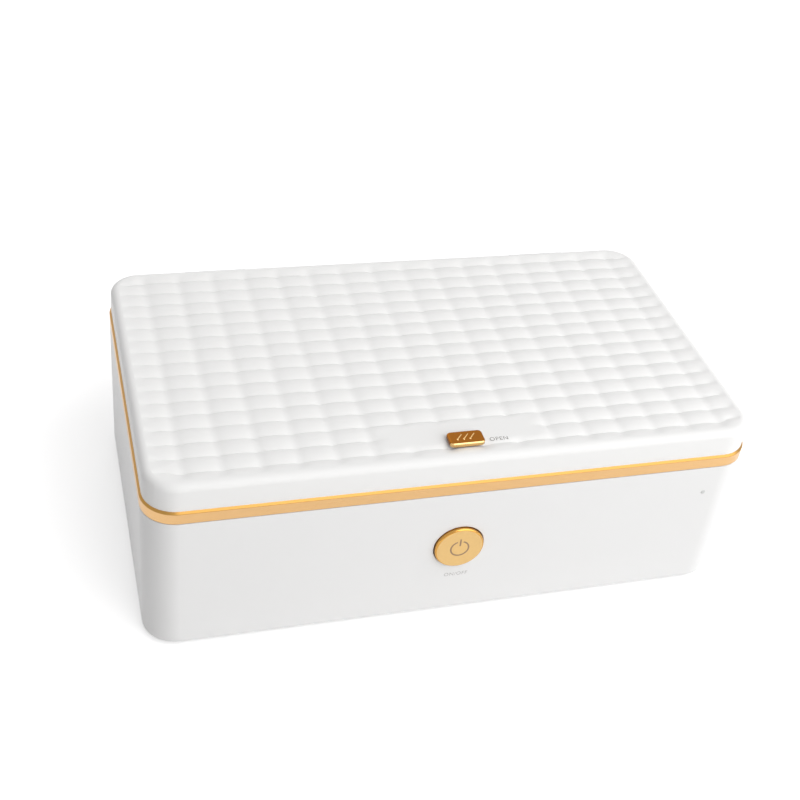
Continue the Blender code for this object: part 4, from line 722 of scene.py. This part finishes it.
bpy.ops.object.select_all(action="DESELECT")
bpy.ops.mesh.primitive_circle_add(
    vertices=96, radius=SIGN_RADIUS + SIGN_STROKE / 2, fill_type="NGON")
sign = bpy.context.object
sign.name = "power_sign"
bpy.ops.object.mode_set(mode="EDIT")
bpy.ops.mesh.inset(thickness=SIGN_STROKE)
bpy.ops.mesh.delete(type="FACE")
pick("FACE", lambda face: abs(math.atan2(*face.calc_center_median().xy)) < SIGN_GAP / 2)
bpy.ops.mesh.delete(type="FACE")
bpy.ops.mesh.select_all(action="SELECT")
bpy.ops.mesh.extrude_region_move()
bpy.ops.transform.translate(value=(0, 0, SIGN_THICKNESS))
bpy.ops.mesh.primitive_cube_add(
    size=1, location=(0, SIGN_RADIUS * STROKE_RISE, SIGN_THICKNESS / 2),
    scale=(SIGN_STROKE, SIGN_RADIUS, SIGN_THICKNESS),
)
bpy.ops.mesh.select_all(action="SELECT")
bpy.ops.mesh.normals_make_consistent(inside=False)
bpy.ops.object.mode_set(mode="OBJECT")
sign.rotation_euler = FACE_FRONT
sign.location = (button_middle.x, button_front + SIGN_THICKNESS / 2, button_middle.z)
bpy.ops.object.transform_apply()
print_brown = finish("brown_print", (0.30, 0.19, 0.11), roughness=0.5, grain=2000, tint=0.05,
                     gloss=0.05, bump=0.02)
dress(sign, print_brown, "button", "gold")


# Words printed in thin grey ink: OPEN beside the slider, and ON/OFF below the button.
OPEN_LEFT = 0.0097
OPEN_RIGHT = 0.0169
OPEN_FORWARD = -0.0003
SWITCH_WORD_LEFT = -0.0040
SWITCH_WORD_RIGHT = 0.0056
SWITCH_WORD_HEIGHT = 0.0190
PRINT_THICKNESS = 0.00003
grey_print = finish("grey_print", (0.30, 0.29, 0.28), roughness=0.5, grain=2000, tint=0.05,
                    gloss=0.05, bump=0.02)
pale_print = finish("pale_grey_print", (0.52, 0.51, 0.50), roughness=0.5, grain=2000, tint=0.04,
                    gloss=0.05, bump=0.02)


def written(name, words, width, middle, turn, ink, body, slot):
    """Words of one width, raised by a film of ink and centred on a spot."""
    bpy.ops.object.select_all(action="DESELECT")
    bpy.ops.object.text_add()
    text = bpy.context.object
    text.name = name
    text.data.body = words
    text.data.align_x = "CENTER"
    text.data.align_y = "CENTER"
    text.data.size = 0.003
    text.data.space_character = 1.1
    bpy.context.view_layer.update()
    text.data.size *= width / text.dimensions.x
    text.data.extrude = PRINT_THICKNESS / 2
    text.rotation_euler = turn
    text.location = middle
    bpy.ops.object.convert(target="MESH")
    bpy.ops.object.transform_apply()
    dress(bpy.context.object, ink, body, slot)


written(
    "word_open", "OPEN", OPEN_RIGHT - OPEN_LEFT,
    ((OPEN_LEFT + OPEN_RIGHT) / 2, slider_middle.y + OPEN_FORWARD,
     lid_high.z - PATCH_RELIEF + PRINT_THICKNESS / 2),
    (0, 0, 0), grey_print, "lid", "quilted_plastic",
)
written(
    "word_on_off", "ON/OFF", SWITCH_WORD_RIGHT - SWITCH_WORD_LEFT,
    ((SWITCH_WORD_LEFT + SWITCH_WORD_RIGHT) / 2, front - PRINT_THICKNESS / 2,
     case_low.z + SWITCH_WORD_HEIGHT),
    FACE_FRONT, pale_print, "base", "white_plastic",
)


# Status light: a frosted acrylic light pipe pressed into its small hole beside the gold band,
# with its domed end nearly flush with the wall.
LENS_DOME = 0.0003
lens = turned(
    "status_light_pipe",
    [(LENS_RADIUS, front - lens_high.y), *round_edge(LENS_RADIUS, front - lens_low.y, LENS_DOME)],
    (lens_middle.x, front, lens_middle.z), FACE_FRONT, 32,
)
soften(lens, 0)
frosted = finish("frosted_lens", (0.62, 0.63, 0.62), roughness=0.35, grain=1500, tint=0.02,
                 gloss=0.05, bump=0.02)
dress(lens, frosted, "base", "lens", "status_lens")


# Hinges: two zinc-plated steel hinges at the rear, each a folded bracket screwed to the case, an
# arm screwed into the lid, and a turned pin through both knuckles.
CROSS_LENGTH = 0.0012
CROSS_WIDTH = 0.00022
CROSS_DEPTH = 0.0005
DOWN, BEHIND = (0, 0, -1), (0, 1, 0)
slot_of = {row["node"]: row["material_slot"] for row in frame["record"]["subparts"]}


def finer(node, material, body, width=0.00015, segments=2, angle=40, limit=35, cuts=()):
    """A copy of a node's solid with its edges broken, its round faces smooth and its cuts made."""
    piece = bpy.data.objects.new(f"{node}_dressed", frame["nodes"][node].data.copy())
    bpy.context.collection.objects.link(piece)
    activate(piece)
    bpy.ops.object.mode_set(mode="EDIT")
    bpy.ops.mesh.select_all(action="SELECT")
    bpy.ops.mesh.remove_doubles(threshold=0.000001)
    bpy.ops.mesh.dissolve_limited(angle_limit=math.radians(0.5))
    bpy.ops.object.mode_set(mode="OBJECT")
    boolean(piece, cuts)
    soften(piece, width, segments, angle, limit)
    dress(piece, material, body, slot_of[node], node)
    return piece


def cross(node, facing):
    """The two blades that press a cross into a screw's head, on the side that it faces."""
    low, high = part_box(node)
    middle = (low + high) / 2
    head = middle + Vector(facing) * (high - low).dot(Vector([abs(part) for part in facing])) / 2
    blades = []
    for long, short in ((CROSS_LENGTH, CROSS_WIDTH), (CROSS_WIDTH, CROSS_LENGTH)):
        half = Vector((long, CROSS_DEPTH, short) if facing[1] else (long, short, CROSS_DEPTH))
        blades.append(rounded_block("blade", head - half, head + half, 0))
        bpy.ops.object.mode_set(mode="OBJECT")
    return blades


zinc = finish("zinc_plated_steel", (0.50, 0.51, 0.52), roughness=0.38, metallic=1.0, grain=1500,
              tint=0.06, gloss=0.08, bump=0.04)
screw_steel = finish("screw_steel", (0.58, 0.58, 0.59), roughness=0.26, metallic=1.0, grain=2200,
                     tint=0.05, gloss=0.06, bump=0.03)
for side in ("left", "right"):
    finer(f"hinge_bracket_{side}", zinc, "base")
    finer(f"lid_arm_{side}", zinc, "lid")
    finer(f"hinge_pin_{side}", screw_steel, "base", 0.0001)
    for number in (1, 2):
        screw = f"hinge_screw_{side}_{number}"
        finer(screw, screw_steel, "base", 0.0001, cuts=cross(screw, BEHIND))


# Feet, bottom cover and its screws: four dark rubber feet pressed into a white moulded plate
# with vent slots, which four steel screws hold under the case.
rubber = finish("dark_rubber", (0.06, 0.06, 0.062), roughness=0.75, grain=1200, tint=0.15,
                gloss=0.08, bump=0.15)
cover_plastic = finish("white_textured_plastic", (0.82, 0.82, 0.81), roughness=0.55, grain=2500,
                       tint=0.02, gloss=0.05, bump=0.10)
finer("bottom_cover", cover_plastic, "base", 0.0002)
for corner in ("front_left", "front_right", "rear_left", "rear_right"):
    finer(f"foot_{corner}", rubber, "base", 0.0001)
    screw = f"cover_screw_{corner}"
    finer(screw, screw_steel, "base", 0.0001, cuts=cross(screw, DOWN))


# Chamber: a drawn tub of bright aluminium whose flange covers the compartments round it, a
# ridged reflector under the lamps, and over them a slotted steel guard that carries the load.
aluminium = finish("bright_aluminium", (0.62, 0.63, 0.64), roughness=0.24, metallic=1.0, grain=500,
                   stretch=(0.06, 3, 3), tint=0.05, gloss=0.05, bump=0.04)
mirror = finish("mirror_aluminium", (0.56, 0.57, 0.59), roughness=0.16, metallic=1.0, grain=600,
                stretch=(0.06, 3, 3), tint=0.04, gloss=0.04, bump=0.03)
guard_steel = finish("brushed_steel", (0.58, 0.58, 0.58), roughness=0.27, metallic=1.0, grain=700,
                     stretch=(0.05, 3, 3), tint=0.05, gloss=0.06, bump=0.04)
finer("chamber_liner", aluminium, "base", 0.0002)
finer("lamp_reflector", mirror, "base", 0.0001)
finer("lamp_guard", guard_steel, "base", 0.0001)
ceramic = finish("glazed_ceramic", (0.83, 0.81, 0.76), roughness=0.25, grain=900, tint=0.03,
                 gloss=0.05, bump=0.02)
finer("lamp_holder_left", ceramic, "base", 0.0004, 3)
finer("lamp_holder_right", ceramic, "base", 0.0004, 3)


# Lamps: two sealed quartz tubes whose ends are pressed into the ceramic holders. Inside each end
# a nickel electrode stands on its glass seal.
QUARTZ_CLEARNESS = 0.85
QUARTZ_INDEX = 1.46
quartz = finish("quartz_tube", (0.90, 0.93, 0.97), roughness=0.05, grain=300, tint=0.01, gloss=0.02,
                bump=0.003)
set_shader(quartz, "Transmission Weight", QUARTZ_CLEARNESS)
set_shader(quartz, "IOR", QUARTZ_INDEX)
nickel = finish("nickel_electrode", (0.72, 0.69, 0.64), roughness=0.2, metallic=1.0, grain=900,
                tint=0.04, gloss=0.05, bump=0.02)
ELECTRODE_INSET = 0.0085
ELECTRODE_PROFILE = [
    (0.0026, 0.0), (0.0028, 0.0002), (0.0028, 0.0012), (0.0009, 0.0022), (0.0007, 0.0060),
    (0.0015, 0.0066), (0.0015, 0.0078), (0.0011, 0.0082), (0.0015, 0.0086), (0.0015, 0.0098),
    (0.0006, 0.0104),
]
TUBE_EDGE = 0.0008
FACE_RIGHT, FACE_LEFT = (0, math.pi / 2, 0), (0, -math.pi / 2, 0)
for end in ("front", "rear"):
    lamp_low, lamp_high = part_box(f"uv_lamp_{end}")
    lamp_middle = (lamp_low + lamp_high) / 2
    lamp_radius = (lamp_high.z - lamp_low.z) / 2
    half = (lamp_high.x - lamp_low.x) / 2
    tube = turned(
        f"lamp_tube_{end}",
        [
            (lamp_radius - TUBE_EDGE, -half),
            *[(r, -h) for r, h in reversed(round_edge(lamp_radius, half, TUBE_EDGE))][1:],
            *round_edge(lamp_radius, half, TUBE_EDGE),
        ],
        lamp_middle, FACE_RIGHT, 48,
    )
    soften(tube, 0)
    dress(tube, quartz, "base", "quartz", f"uv_lamp_{end}")
    for side, turn in ((-1, FACE_RIGHT), (1, FACE_LEFT)):
        electrode = turned(
            f"lamp_electrode_{end}_{'right' if side > 0 else 'left'}",
            ELECTRODE_PROFILE,
            lamp_middle + Vector((side * (half - ELECTRODE_INSET), 0, 0)), turn, 24,
        )
        soften(electrode, 0)
        dress(electrode, nickel, "base", "zinc_steel")


# Power board, its parts and the switch behind the button: hidden between the tub and the case.
board_green = finish("board_lacquer", (0.03, 0.16, 0.07), roughness=0.32, grain=900, tint=0.15,
                     gloss=0.05, bump=0.03)
black_plastic = finish("black_plastic", (0.03, 0.03, 0.032), roughness=0.4, grain=1800, tint=0.1,
                       gloss=0.05, bump=0.04)
ferrite = finish("ferrite_core", (0.09, 0.09, 0.095), roughness=0.5, grain=1200, tint=0.15,
                 gloss=0.08, bump=0.06)
sleeve = finish("capacitor_sleeve", (0.05, 0.07, 0.14), roughness=0.35, grain=1200, tint=0.06,
                gloss=0.05, bump=0.02)
red_wire = finish("red_wire", (0.45, 0.03, 0.02), roughness=0.4, grain=1500, tint=0.06, gloss=0.05,
                  bump=0.02)
finer("main_board", board_green, "base", 0.0001)
finer("switch_board", board_green, "base", 0.0001)
finer("ballast_transformer", ferrite, "base", 0.0002)
finer("smoothing_capacitor", sleeve, "base", 0.0002)
finer("dc_inlet", black_plastic, "base", 0.00015)
finer("tact_switch", black_plastic, "base", 0.0001)
finer("switch_plunger", black_plastic, "button", 0.0001)
finer("reed_sensor", black_plastic, "base", 0.0001)
finer("status_led", frosted, "base", 0.0001)
finer("board_screw_left", screw_steel, "base", 0.0001)
finer("board_screw_right", screw_steel, "base", 0.0001)
for lead in ("lamp_lead_left", "lamp_lead_right", "switch_lead", "sensor_lead"):
    finer(lead, red_wire, "base", 0)


# Inside of the lid: a bright aluminium pan screwed to four bosses, with a grey silicone seal
# round its rim, a magnet for the sensor, and the latch's steel hook and spring.
silicone = finish("grey_silicone", (0.55, 0.55, 0.55), roughness=0.6, grain=1500, tint=0.05,
                  gloss=0.06, bump=0.06)
finer("lid_liner", mirror, "lid", 0.00015)
finer("lid_seal", silicone, "lid", 0.0004, 3)
finer("lid_magnet", zinc, "lid", 0.0001)
for corner in ("front_left", "front_right", "rear_left", "rear_right"):
    screw = f"lid_screw_{corner}"
    finer(screw, screw_steel, "lid", 0.0001, cuts=cross(screw, DOWN))
spring = finer("latch_spring", screw_steel, "lid", 0)
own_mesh(spring)
finer("latch_hook", zinc, "latch", 0.0001)
finer("latch_catch", zinc, "base", 0.0001)
